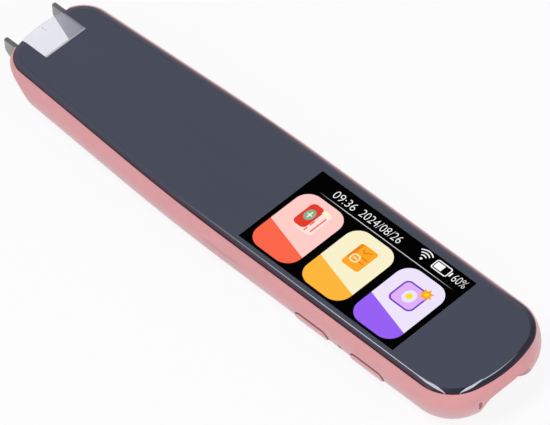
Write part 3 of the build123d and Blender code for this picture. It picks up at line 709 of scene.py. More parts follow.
@dataclass(frozen=True)
class ClearPane(Finish):
    """Clear hard plastic with a faint tint."""

    colour: Colour
    body: float
    roughness: float
    haze: float = 5.0
    haze_light: float = 0.94
    uneven: float = 0.04

    def make(self, graph: Graph) -> bpy.types.Material:
        """Mostly see-through, with a trace of haze."""
        haze = graph.noise(self.haze)
        return graph.surface(
            Base_Color=graph.blend(haze, self.colour, dim(self.colour, self.haze_light)),
            Roughness=haze.lift(self.roughness, self.uneven),
            Alpha=(haze - 0.5).lift(self.body, self.uneven),
        )


@dataclass(frozen=True)
class Metal(Finish):
    """Brushed, drawn or stamped metal."""

    colour: Colour
    roughness: float = 0.3
    grain: Grain = Grain.LENGTHWISE
    line: float = 1.6
    line_light: float = 0.78
    depth: float = 0.006
    uneven: float = 0.2

    def make(self, graph: Graph) -> bpy.types.Material:
        """Fine lines along the way it was worked."""
        lines = graph.noise(self.line, 3.0, self.grain.value)
        return graph.surface(
            Base_Color=graph.blend(lines, dim(self.colour, self.line_light), self.colour),
            Metallic=1.0,
            Roughness=(lines - 0.5).lift(self.roughness, self.uneven),
            Normal=graph.relief(lines, self.depth),
        )


@dataclass(frozen=True)
class SolderMask(Finish):
    """Lacquered circuit board with tracks and plated holes."""

    colour: Colour
    track: Colour
    plating: Colour
    track_pitch: float = 0.55
    track_gap: Ramp = (0.62, 0.05)
    patch: float = 4.5
    patch_kind: Ramp = (0.5, 0.01)
    hole_pitch: float = 1.9
    hole: Ramp = (0.16, 0.04)
    roughness: Lift = (0.32, 0.08)
    depth: float = 0.02

    def make(self, graph: Graph) -> bpy.types.Material:
        """Tracks that run along the board in some patches and across it in others.

        Args:
            graph: The material's empty graph.

        Returns:
            The finished material.
        """
        x, y, _ = graph.place()
        patches = graph.cells(self.patch, "Color", "CHEBYCHEV")
        kind = graph.wire("ShaderNodeSeparateColor", None, {0: patches})
        lengthwise = kind.over(*self.patch_kind)
        along = y.stripes(self.track_pitch, *self.track_gap)
        across = x.stripes(self.track_pitch, *self.track_gap)
        tracks = along * lengthwise + across * (1 - lengthwise)
        holes = graph.cells(self.hole_pitch).under(*self.hole)
        base = graph.blend(tracks, self.colour, self.track)
        return graph.surface(
            Base_Color=graph.blend(holes, base, self.plating),
            Metallic=holes,
            Roughness=tracks.lift(*self.roughness),
            Normal=graph.relief(tracks, self.depth),
        )


@dataclass(frozen=True)
class FlexFilm(Finish):
    """Amber film with copper tracks along it."""

    film: Colour
    copper: Colour
    pitch: float = 0.4
    gap: Ramp = (0.5, 0.08)
    wrinkle: float = 3.0
    roughness: Lift = (0.3, 0.15)
    depth: float = 0.05
    track_height: float = 0.2

    def make(self, graph: Graph) -> bpy.types.Material:
        """Parallel tracks under a glossy film.

        Args:
            graph: The material's empty graph.

        Returns:
            The finished material.
        """
        _, y, _ = graph.place()
        tracks = y.stripes(self.pitch, *self.gap)
        wrinkle = graph.noise(self.wrinkle)
        return graph.surface(
            Base_Color=graph.blend(tracks, self.film, self.copper),
            Roughness=wrinkle.lift(*self.roughness),
            Normal=graph.relief(wrinkle + tracks * self.track_height, self.depth),
            Coat_Weight=0.4,
        )


@dataclass(frozen=True)
class Foam(Finish):
    """Open-celled foam or felt-like tape."""

    colour: Colour
    pore: float
    pore_light: float = 0.35
    roughness: float = 0.85
    uneven: float = 0.1

    def make(self, graph: Graph) -> bpy.types.Material:
        """Dark pores between paler walls, the pores darkened as painted shade."""
        # painted shade: the pores are darker than the walls
        pores = graph.cells(self.pore)
        return graph.surface(
            Base_Color=graph.blend(pores, self.colour, dim(self.colour, self.pore_light)),
            Roughness=(pores - 0.5).lift(self.roughness, self.uneven),
            Normal=graph.relief(pores, -self.pore / 3),
        )


@dataclass(frozen=True)
class Weave(Finish):
    """Fine woven cloth that lets sound through."""

    colour: Colour
    pitch: float
    under_light: float = 0.3
    roughness: Lift = (0.75, 0.15)

    def make(self, graph: Graph) -> bpy.types.Material:
        """Threads over and under along x and y, with painted shade where they go under.

        Args:
            graph: The material's empty graph.

        Returns:
            The finished material.
        """
        x, y, _ = graph.place()
        # painted shade: the threads are darker where they go under
        over = x.off_middle(self.pitch) + y.off_middle(self.pitch)
        return graph.surface(
            Base_Color=graph.blend(over, dim(self.colour, self.under_light), self.colour),
            Roughness=over.lift(*self.roughness),
            Normal=graph.relief(over, self.pitch / 3),
        )


@dataclass(frozen=True)
class PouchFoil(Finish):
    """Laminated foil of a battery pouch with an amber tape at its end."""

    foil: Colour
    tape: Colour
    tape_from: float
    crisp: float = 0.05
    crinkle: float = 2.2
    metal: float = 0.85
    roughness: Lift = (0.34, 0.2)
    depth: float = 0.12

    def make(self, graph: Graph) -> bpy.types.Material:
        """Crinkled foil, smooth tape.

        Args:
            graph: The material's empty graph.

        Returns:
            The finished material.
        """
        x, _, _ = graph.place()
        taped = x.over(self.tape_from, self.crisp)
        crinkle = graph.noise(self.crinkle, 4.0)
        return graph.surface(
            Base_Color=graph.blend(taped, self.foil, self.tape),
            Metallic=self.metal - taped * self.metal,
            Roughness=crinkle.lift(*self.roughness),
            Normal=graph.relief(crinkle, self.depth),
        )


@dataclass(frozen=True)
class LampFace(Finish):
    """White lamps with a band of yellow phosphor each, in one row."""

    shell: Colour
    phosphor: Colour
    pitch: float
    reach: float
    crisp: float = 0.05
    cloud: float = 0.3
    roughness: Lift = (0.3, 0.2)
    depth: float = 0.004

    def make(self, graph: Graph) -> bpy.types.Material:
        """A yellow band across the middle of each lamp.

        Args:
            graph: The material's empty graph.

        Returns:
            The finished material.
        """
        _, y, _ = graph.place()
        band = (y.off_middle(self.pitch) * self.pitch).under(self.reach, self.crisp)
        cloud = graph.noise(self.cloud)
        return graph.surface(
            Base_Color=graph.blend(band, self.shell, self.phosphor),
            Roughness=cloud.lift(*self.roughness),
            Normal=graph.relief(cloud, self.depth),
        )


@dataclass(frozen=True)
class LensCoat(Finish):
    """Coated front of the camera lens."""

    iris: Colour
    coating: Colour
    level: float
    ring: Ramp = (0.6, 0.5)
    roughness: Lift = (0.03, 0.02)

    def make(self, graph: Graph) -> bpy.types.Material:
        """A dark iris in a violet ring.

        Args:
            graph: The material's empty graph.

        Returns:
            The finished material.
        """
        _, y, z = graph.place()
        radius = y.distance(z - self.level)
        return graph.surface(
            Base_Color=graph.blend(radius.over(*self.ring), self.iris, self.coating),
            Roughness=radius.lift(*self.roughness),
            Coat_Weight=0.8,
        )


@dataclass(frozen=True)
class Pixelled(Finish):
    """A finish of the display, with the fine grid between its pixels."""

    PITCH = 0.12
    GAP = (0.44, 0.08)

    def gaps(self, graph: Graph) -> Wire:
        """Mask of the gaps between the pixels."""
        x, y, _ = graph.place()
        return x.off_middle(self.PITCH).most(y.off_middle(self.PITCH)).over(*self.GAP)


@dataclass(frozen=True)
class Glow(Pixelled):
    """Lit area of the display."""

    ink: Colour
    fade: Optional[Point] = None
    gap_loss: float = 0.08
    fade_out: Ramp = (0.8, 0.4)
    unlit: float = 0.04

    def make(self, graph: Graph) -> bpy.types.Material:
        """Pixels that shine, and dim towards both ends where a fade is given.

        Args:
            graph: The material's empty graph.

        Returns:
            The finished material.
        """
        lit = 1 - self.gaps(graph) * self.gap_loss
        if self.fade:
            x, _, _ = graph.place()
            middle = sum(self.fade) / 2
            reach = (self.fade[1] - self.fade[0]) / 2
            lit = lit * (abs(x - middle) / reach).under(*self.fade_out)
        return graph.surface(
            Base_Color=graph.blend(lit, BLACK, dim(self.ink, self.unlit)),
            Emission_Color=graph.blend(lit, BLACK, self.ink),
            Emission_Strength=1.0,
            Specular_IOR_Level=0.0,
        )


@dataclass(frozen=True)
class Polariser(Pixelled):
    """Dark front film of the display."""

    colour: Colour
    roughness: Lift = (0.35, 0.1)

    def make(self, graph: Graph) -> bpy.types.Material:
        """Nearly black, with the grid of unlit pixels."""
        gaps = self.gaps(graph)
        return graph.surface(
            Base_Color=graph.blend(gaps, self.colour, BLACK),
            Roughness=gaps.lift(*self.roughness),
            Specular_IOR_Level=0.0,
        )


@dataclass(frozen=True)
class FloorPaper(Finish):
    """Pale paper of the floor, nearly white where it is seen."""

    colour: Colour
    shade: Colour
    glow: float
    tooth: float = 4.0

    def make(self, graph: Graph) -> bpy.types.Material:
        """Paper that keeps a shadow, under white for the rays that see it.

        Args:
            graph: The material's empty graph.

        Returns:
            The finished material.
        """
        tooth = graph.blend(graph.noise(self.tooth), self.colour, self.shade)
        paper = graph.wire("ShaderNodeBsdfDiffuse", None, {"Color": tooth})
        white = graph.wire("ShaderNodeEmission", None, {"Color": WHITE, "Strength": 1.0})
        return graph.end(graph.either(graph.seen() * self.glow, paper, white))


class Finishes:
    """The finishes of the pen's own pieces."""

    # Painted sheen: the paler under colour of the case and keys. Painted shade: their dark red
    # colour round the keys, in the thumb groove and in the microphone hole.
    case = CasePlastic("case_pink", paint(220, 154, 157), paint(215, 149, 153),
                       roughness=0.5, grain=0.22, depth=0.003, sheen=0.2, gloss=0.35,
                       under=paint(213, 172, 178), painted_dark=paint(158, 90, 95), radius=1.7)
    key = KeyPlastic("key_pink", paint(219, 152, 155), paint(213, 146, 150),
                     roughness=0.48, grain=0.22, depth=0.003, sheen=0.2, gloss=0.35,
                     under=paint(213, 168, 173), painted_dark=paint(158, 90, 95))
    slate = SlateGlass("slate_glass", (0.0195, 0.0255, 0.0545, 1.0), (0.0235, 0.030, 0.062, 1.0),
                       low=(5.38, -12.62), high=(49.55, 11.95))
    # Glass edge: painted reflections of the pink rim in rim and blush, painted darkness at the
    # charging end, and light for the painted highlights.
    bevel = GroundGlass("glass_bevel", face=(0.060, 0.062, 0.090, 1.0),
                        rim=(0.052, 0.015, 0.022, 1.0), painted_dark=(0.016, 0.018, 0.034, 1.0),
                        light=(0.55, 0.57, 0.66, 1.0), blush=paint(160, 126, 136))
    pane = ClearPane("window_pane", (0.62, 0.62, 0.80, 1.0), 0.22, 0.04)
    frosted = ClearPane("window_ledge", paint(176, 176, 180), 0.8, 0.3)
    etched = ClearPane("window_mark", paint(120, 120, 135), 0.6, 0.4)
    tape = Foam("black_tape", (0.012, 0.012, 0.014, 1.0), 0.12)
    # painted shade: the darker grey of the prong faces that look up
    prong_top = Moulded("prong_top", paint(96, 95, 99), paint(88, 87, 91), 0.42, 0.18, 0.004)
    # painted shade: the sides darken to the inner grey further inside the case
    prong_side = ProngPlastic("prong_side", paint(176, 175, 177), paint(166, 165, 167), 0.3, 0.3,
                              0.003, inner=paint(122, 121, 124))
    spring = Metal("spring_steel", (0.60, 0.60, 0.62, 1.0), 0.25)
    black = Moulded("black_plastic", paint(34, 34, 37), paint(28, 28, 31), 0.45, 0.2, 0.004)
    hood = Moulded("hood_plastic", paint(70, 70, 74), paint(60, 60, 64), 0.7, 0.15, 0.008)
    tin = Metal("tinned_steel", (0.58, 0.58, 0.60, 1.0), 0.28, Grain.CROSSWISE)
    board = SolderMask("solder_mask", (0.006, 0.055, 0.022, 1.0), (0.016, 0.11, 0.05, 1.0),
                       (0.75, 0.55, 0.22, 1.0))
    flex = FlexFilm("flex_film", (0.30, 0.11, 0.012, 1.0), (0.42, 0.17, 0.03, 1.0))
    guide = ClearPane("guide_acrylic", paint(238, 238, 242), 0.55, 0.25)
    lamp = LampFace("lamp_face", paint(240, 238, 228), paint(240, 205, 60), 2.5, 0.28)
    lens = LensCoat("lens_coat", (0.003, 0.003, 0.006, 1.0), (0.05, 0.02, 0.14, 1.0), 6.8)
    panel = Polariser("display_film", (0.0012, 0.0012, 0.0016, 1.0))
    epoxy = Moulded("chip_epoxy", paint(42, 42, 45), paint(36, 36, 39), 0.55, 0.1, 0.006)
    film = Moulded("backlight_film", paint(232, 232, 236), paint(224, 224, 230), 0.4, 0.4, 0.002)
    socket = Moulded("connector_body", paint(226, 218, 196), paint(216, 208, 186), 0.45, 0.2, 0.004)
    chassis = Moulded("chassis_nylon", paint(60, 61, 64), paint(50, 51, 54), 0.6, 0.35, 0.01)
    screw = Metal("screw_steel", (0.42, 0.42, 0.44, 1.0), 0.32)
    shield = Metal("shield_sheet", (0.62, 0.62, 0.64, 1.0), 0.3, Grain.CROSSWISE)
    pouch = PouchFoil("battery_pouch", (0.50, 0.51, 0.53, 1.0), (0.62, 0.30, 0.04, 1.0), -7.2)
    foam = Foam("pad_foam", (0.022, 0.022, 0.024, 1.0), 0.35)
    brass = Metal("gold_plate", (0.82, 0.58, 0.22, 1.0), 0.24)
    rubber = Moulded("boot_rubber", paint(38, 38, 40), paint(30, 30, 32), 0.8, 0.25, 0.01)
    steel = Metal("port_steel", (0.55, 0.55, 0.57, 1.0), 0.26)
    cloth = Weave("sound_cloth", (0.03, 0.03, 0.033, 1.0), 0.16)
    cone = Moulded("speaker_cone", paint(52, 52, 56), paint(44, 44, 48), 0.4, 0.5, 0.004)
    ceramic = Moulded("ceramic", paint(150, 118, 82), paint(136, 104, 70), 0.5, 0.1, 0.004)
    white = Glow("light_white", paint(250, 250, 250))
    rule = Glow("light_rule", paint(215, 215, 218), fade=(8.4, 46.9))
    coral = Glow("light_coral", paint(249, 103, 75))
    blush = Glow("light_blush", paint(255, 204, 199))
    red = Glow("light_red", paint(226, 62, 44))
    page = Glow("light_page", paint(255, 226, 222))
    teal = Glow("light_teal", paint(126, 176, 150))
    amber = Glow("light_amber", paint(251, 181, 60))
    cream = Glow("light_cream", paint(248, 240, 203))
    orange = Glow("light_orange", paint(252, 166, 40))
    brown = Glow("light_brown", paint(236, 132, 20))
    violet = Glow("light_violet", paint(149, 96, 242))
    lavender = Glow("light_lavender", paint(236, 227, 251))
    plum = Glow("light_plum", paint(112, 62, 205))
    lilac = Glow("light_lilac", paint(222, 176, 246))
    yellow = Glow("light_yellow", paint(246, 222, 30))
    paper = FloorPaper("floor_paper", (0.86, 0.86, 0.86, 1.0), (0.9, 0.9, 0.9, 1.0), 0.86)


# ------------------------------------------------------------------ mesh work
class Bench:
    """Turns meshes in the making into finished pieces at the origin."""

    MERGE = 0.001

    @staticmethod
    def piece(name: str, shape: bmesh.types.BMesh, finishes: Sequence[Finish]) -> bpy.types.Object:
        """Makes a piece of a finished bmesh.

        Args:
            name: The piece's name.
            shape: Its mesh, which is freed.
            finishes: The finishes that its faces name by number.

        Returns:
            The piece, in the scene.
        """
        mesh = bpy.data.meshes.new(name)
        shape.to_mesh(mesh)
        shape.free()
        for finish in finishes:
            mesh.materials.append(finish.material())
        made = bpy.data.objects.new(name, mesh)
        bpy.context.scene.collection.objects.link(made)
        return made

    @staticmethod
    def copy_of(node: str) -> bmesh.types.BMesh:
        """Copies the mesh of a CAD node, its loose triangles merged.

        Args:
            node: The node's name.

        Returns:
            The copy.
        """
        shape = bmesh.new()
        shape.from_mesh(frame["nodes"][node].data)
        bmesh.ops.remove_doubles(shape, verts=shape.verts, dist=Bench.MERGE * MM)
        return shape

    @staticmethod
    def smooth(made: bpy.types.Object, crease: float) -> bpy.types.Object:
        """Shades a piece smooth between creases.

        Args:
            made: The piece.
            crease: The angle in degrees from which an edge stays sharp.

        Returns:
            The same piece.
        """
        mesh = made.data
        worn = mesh.attributes.get("custom_normal")
        if worn:
            mesh.attributes.remove(worn)
        mesh.shade_smooth()
        mesh.set_sharp_from_angle(angle=math.radians(crease))
        weights = made.modifiers.new("weights", "WEIGHTED_NORMAL")
        weights.keep_sharp = True
        weights.weight = 100
        return made

    @staticmethod
    def fix(made: bpy.types.Object, body: Body, slot: str, *nodes: str) -> bpy.types.Object:
        """Lets a piece ride on a body and stand for CAD nodes.

        Args:
            made: The piece.
            body: The body that it rides on.
            slot: Name of a material slot of the record; not used.
            nodes: The CAD nodes that it stands for.

        Returns:
            The same piece.
        """
        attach(made, body.value)
        if nodes:
            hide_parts(*nodes)
        LOG.info("%s rides on %s", made.name, body.value)
        return made

    @staticmethod
    def skin(name: str, node: str, body: Body, slot: str, finish: Finish,
             crease: float) -> bpy.types.Object:
        """Covers a CAD node with a smooth copy of itself in one finish."""
        made = Bench.piece(name, Bench.copy_of(node), [finish])
        return Bench.fix(Bench.smooth(made, crease), body, slot, node)

    @staticmethod
    def cut(shape: bmesh.types.BMesh, point: Vector, normal: Vector, **cleared: bool) -> None:
        """Cuts a mesh along a plane, and clears the side that clear_outer or clear_inner names."""
        bmesh.ops.bisect_plane(shape, geom=shape.verts[:] + shape.edges[:] + shape.faces[:],
                               plane_co=point, plane_no=normal, **cleared)

    @staticmethod
    def box(shape: bmesh.types.BMesh, low: Sequence[float], high: Sequence[float],
            kind: int = 0, edge: float = 0.0) -> None:
        """Adds a block between two corners.

        Args:
            shape: The mesh that it joins.
            low: Lowest corner in millimetres.
            high: Highest corner in millimetres.
            kind: The number of its finish.
            edge: Size of the broken edges.
        """
        part = bmesh.new()
        bmesh.ops.create_cube(part, size=1.0)
        size = [(b - a) * MM for a, b in zip(low, high)]
        middle = Vector([(a + b) / 2 * MM for a, b in zip(low, high)])
        bmesh.ops.scale(part, vec=size, verts=part.verts)
        bmesh.ops.translate(part, vec=middle, verts=part.verts)
        if edge:
            bmesh.ops.bevel(part, geom=part.edges, affect="EDGES", offset=edge * MM, segments=1,
                            profile=0.5, material=-1)
        Bench.join(shape, part, kind)

    @staticmethod
    def join(shape: bmesh.types.BMesh, part: bmesh.types.BMesh, kind: int) -> None:
        """Adds a finished part to a mesh, all its faces in one finish.

        Args:
            shape: The mesh that it joins.
            part: The part, which is freed.
            kind: The number of its finish.
        """
        for face in part.faces:
            face.material_index = kind
        carrier = bpy.data.meshes.new("carrier")
        part.to_mesh(carrier)
        part.free()
        shape.from_mesh(carrier)
        bpy.data.meshes.remove(carrier)


class Flat:
    """Flat parts about the origin, in millimetres, that face the front."""

    CARD_STEPS = 10
    DISC_SIDES = 40
    ARC_STEPS = 16
    LETTER_STEPS = 4
    LETTER_OFFSET = -0.014
    LETTER_MERGE = 1e-5

    @staticmethod
    def card(width: float, height: float, radius: float) -> bmesh.types.BMesh:
        """Makes a rectangle with round corners.

        Args:
            width: Its size along x.
            height: Its size along y.
            radius: Its corner radius, or 0 for sharp corners.

        Returns:
            The rectangle.
        """
        part = bmesh.new()
        bmesh.ops.create_grid(part, x_segments=1, y_segments=1, size=0.5)
        bmesh.ops.scale(part, vec=(width, height, 1.0), verts=part.verts)
        if radius:
            bmesh.ops.bevel(part, geom=part.verts, affect="VERTICES", offset=radius,
                            segments=Flat.CARD_STEPS, profile=0.5, material=-1)
        part.normal_update()
        return part

    @staticmethod
    def frame(width: float, height: float, radius: float, line: float) -> bmesh.types.BMesh:
        """Makes the outline of a rectangle with round corners.

        Args:
            width: Its size along x.
            height: Its size along y.
            radius: Its corner radius.
            line: Width of its line.

        Returns:
            The outline.
        """
        part = Flat.card(width, height, radius)
        middle = bmesh.ops.inset_region(part, faces=part.faces[:], thickness=line,
                                        use_boundary=True, use_even_offset=True)
        inner = [face for face in part.faces if face not in middle["faces"]]
        bmesh.ops.delete(part, geom=inner, context="FACES")
        return part

    @staticmethod
    def disc(radius: float, sides: int = DISC_SIDES) -> bmesh.types.BMesh:
        """Makes a round spot.

        Args:
            radius: Its radius.
            sides: How many sides its rim has.

        Returns:
            The spot.
        """
        part = bmesh.new()
        bmesh.ops.create_circle(part, cap_ends=True, segments=sides, radius=radius)
        return part

    @staticmethod
    def star(outer: float, inner: float, points: int) -> bmesh.types.BMesh:
        """Makes a star.

        Args:
            outer: Radius to its points.
            inner: Radius to the notches between them.
            points: How many points it has.

        Returns:
            The star.
        """
        part = Flat.disc(outer, 2 * points)
        share = inner / outer
        bmesh.ops.scale(part, vec=(share, share, 1.0), verts=part.verts[:][1::2])
        return part

    @staticmethod
    def arc(radius: float, line: float, sweep: float) -> bmesh.types.BMesh:
        """Makes a curved band that starts on the x axis.

        Args:
            radius: Radius of its middle line.
            line: Its width.
            sweep: How many degrees it runs on.

        Returns:
            The band.
        """
        part = bmesh.new()
        ends = [part.verts.new((radius + side * line / 2, 0, 0)) for side in (-1, 1)]
        part.edges.new(ends)
        bmesh.ops.spin(part, geom=part.verts[:] + part.edges[:], cent=(0, 0, 0), axis=(0, 0, 1),
                       dvec=(0, 0, 0), angle=math.radians(sweep), steps=Flat.ARC_STEPS,
                       use_merge=False)
        bmesh.ops.recalc_face_normals(part, faces=part.faces)
        for face in part.faces:
            if face.normal.z < 0:
                face.normal_flip()
        return part

    @staticmethod
    def digits(text: str) -> bmesh.types.BMesh:
        """Makes digits, a little thinner than their font has them.

        Args:
            text: The digits.

        Returns:
            Their mesh, of no set size.
        """
        letters = bpy.data.curves.new("letters", "FONT")
        letters.body = text
        letters.offset = Flat.LETTER_OFFSET
        letters.resolution_u = Flat.LETTER_STEPS
        holder = bpy.data.objects.new("letters", letters)
        bpy.context.scene.collection.objects.link(holder)
        bpy.context.view_layer.update()
        mesh = bpy.data.meshes.new_from_object(holder)
        bpy.data.objects.remove(holder)
        bpy.data.curves.remove(letters)
        part = bmesh.new()
        part.from_mesh(mesh)
        bpy.data.meshes.remove(mesh)
        bmesh.ops.remove_doubles(part, verts=part.verts, dist=Flat.LETTER_MERGE)
        return part


class FlatArt:
    """Flat parts laid over one another about a middle, in millimetres, as one piece."""

    STEP = 0.006

    def __init__(self, name: str, level: float, middle: Point = (0.0, 0.0)) -> None:
        """Starts an empty artwork.

        Args:
            name: Name of its piece.
            level: Height of its lowest layer.
            middle: The x and y that its shapes are placed from.
        """
        self.name = name
        self.level = level
        self.middle = middle
        self.shape = bmesh.new()
        self.inks: list[Finish] = []

    def lay(self, part: bmesh.types.BMesh, x: float, y: float, ink: Finish, layer: int = 0,
            turn: float = 0.0, scale: Point = (1.0, 1.0)) -> "FlatArt":
        """Puts a part drawn about the origin in its place.

        Args:
            part: The flat part.
            x: Its place along the pen, from the middle.
            y: Its place across the pen, from the middle.
            ink: Its finish.
            layer: How many layers lie under it.
            turn: Turn in degrees.
            scale: Scale along x and y.

        Returns:
            This artwork.
        """
        if ink not in self.inks:
            self.inks.append(ink)
        place = (self.middle[0] + x, self.middle[1] + y, self.level + layer * self.STEP)
        part.transform(Matrix.Scale(MM, 4) @ Matrix.Translation(place)
                       @ Matrix.Rotation(math.radians(turn), 4, "Z")
                       @ Matrix.Diagonal((*scale, 1, 1)))
        Bench.join(self.shape, part, self.inks.index(ink))
        return self

    def card(self, x: float, y: float, width: float, height: float, radius: float, ink: Finish,
             layer: int = 0, turn: float = 0.0) -> "FlatArt":
        """Lays a rectangle with round corners."""
        return self.lay(Flat.card(width, height, radius), x, y, ink, layer, turn)

    def split_card(self, width: float, height: float, radius: float, left: float, right: float,
                   above: Finish, below: Finish) -> "FlatArt":
        """Lays a card about the middle, in two inks that meet on a slanting line.

        Args:
            width: Its size along the pen.
            height: Its size across the pen.
            radius: Its corner radius.
            left: Height of the line at its left edge, from its middle.
            right: Height of the line at its right edge.
            above: The ink over the line.
            below: The ink under it.

        Returns:
            This artwork.
        """
        across = Vector((left - right, width, 0)).normalized()
        middle = Vector((0, (left + right) / 2, 0))
        for ink, lower in ((above, False), (below, True)):
            part = Flat.card(width, height, radius)
            Bench.cut(part, middle, across, clear_outer=lower, clear_inner=not lower)
            self.lay(part, 0.0, 0.0, ink)
        return self

    def write(self, text: str, low: Point, high: Point, ink: Finish) -> "FlatArt":
        """Lays digits that fill a rectangle.

        Args:
            text: The digits.
            low: Lowest x and y.
            high: Highest x and y.
            ink: Their finish.

        Returns:
            This artwork.
        """
        part = Flat.digits(text)
        xs = [v.co.x for v in part.verts]
        ys = [v.co.y for v in part.verts]
        scale = ((high[0] - low[0]) / (max(xs) - min(xs)), (high[1] - low[1]) / (max(ys) - min(ys)))
        return self.lay(part, low[0] - min(xs) * scale[0], low[1] - min(ys) * scale[1], ink,
                        scale=scale)

    def finish(self, slot: str = "display") -> bpy.types.Object:
        """Makes the artwork a piece of the pen."""
        return Bench.fix(Bench.piece(self.name, self.shape, self.inks), Body.PEN, slot)


# ------------------------------------------------------------------ sub-assemblies
@dataclass
class Housing:
    """The pink case with its keys."""

    crease: float = 24.0

    def build(self) -> None:
        """Builds the shell and both keys."""
        for name, node, body, slot, finish in (
                ("housing_shell", "rear_housing", Body.PEN, "case", Finishes.case),
                ("front_key_cap", "front_key", Body.FRONT_KEY, "key", Finishes.key),
                ("rear_key_cap", "rear_key", Body.REAR_KEY, "key", Finishes.key)):
            Bench.skin(name, node, body, slot, finish, self.crease)


@dataclass
class FrontGlass:
    """The slate cover glass with its ground edge, and the clear window in its tip."""

    crease: float = 12.0
    flat: float = 0.99995
    ground: float = -0.5
    ledge: float = 0.4
    window_back: float = -59.15
    mark_level: float = 10.69
    mark_start: float = -66.9
    mark_end: float = -65.1
    mark_width: float = 0.12
    mark_round: float = 0.05

    def build(self) -> None:
        """Builds the glass, the window and the window's guide mark."""
        self._glass()
        self._window()
        self._mark()

    def _glass(self) -> None:
        """The glass: flat face and ground edge."""
        shape = Bench.copy_of("cover_glass")
        flat = [face for face in shape.faces if face.normal.z > self.flat]
        bmesh.ops.dissolve_faces(shape, faces=flat, use_verts=False)
        shape.normal_update()
        for face in shape.faces:
            face.material_index = 1 if self.ground < face.normal.z < self.flat else 0
        made = Bench.piece("front_glass", shape, [Finishes.slate, Finishes.bevel])
        Bench.fix(Bench.smooth(made, self.crease), Body.PEN, "cover_glass", "cover_glass")

    def _window(self) -> None:
        """The clear window, frosted along its back edge."""
        shape = Bench.copy_of("tip_window")
        edge = (self.window_back - self.ledge) * MM
        Bench.cut(shape, Vector((edge, 0, 0)), Vector((1, 0, 0)))
        for face in shape.faces:
            if face.calc_center_median().x > edge:
                face.material_index = 1
        made = Bench.piece("clear_window", shape, [Finishes.pane, Finishes.frosted])
        Bench.fix(Bench.smooth(made, self.crease), Body.PEN, "clear_window", "tip_window")

    def _mark(self) -> None:
        """The fine line under the window that shows where a line of print is read."""
        middle = (self.mark_start + self.mark_end) / 2
        art = FlatArt("window_mark", self.mark_level, (middle, 0.0))
        art.card(0.0, 0.0, self.mark_end - self.mark_start, self.mark_width, self.mark_round,
                 Finishes.etched)
        art.finish("clear_window")


@dataclass
class ScanTip:
    """The two prongs that are pressed on the paper, their springs, and the lens between them."""

    crease: float = 24.0
    top_slope: float = 0.72
    joint: str = "trigger_press"

    def build(self) -> None:
        """Builds the prongs, the lens and the springs."""
        shape = Bench.copy_of("scan_trigger")
        # painted shade: the faces that look up take the darker grey of the prong tops
        for face in shape.faces:
            face.material_index = 0 if face.normal.z > self.top_slope else 1
        made = Bench.piece("prongs", shape, [Finishes.prong_top, Finishes.prong_side])
        Bench.fix(Bench.smooth(made, self.crease), Body.TRIGGER, "trigger", "scan_trigger")
        Bench.skin("lens_glass", "camera_lens", Body.PEN, "lens", Finishes.lens, self.crease)
        self._springs()

    def _springs(self) -> None:
        """The two coils behind the prongs, which the prongs squeeze against their stop rib; the
        copy keeps one length.
        """
        node = "trigger_springs"
        low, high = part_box(node)
        travel = next(row["range_m"][1] for row in frame["record"]["behaviour"]["joints"]
                      if row["name"] == self.joint)
        length = high[0] - low[0]
        made = Bench.skin("return_springs", node, Body.PEN, "steel", Finishes.spring, self.crease)
        (length - travel) / length
        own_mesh(made)


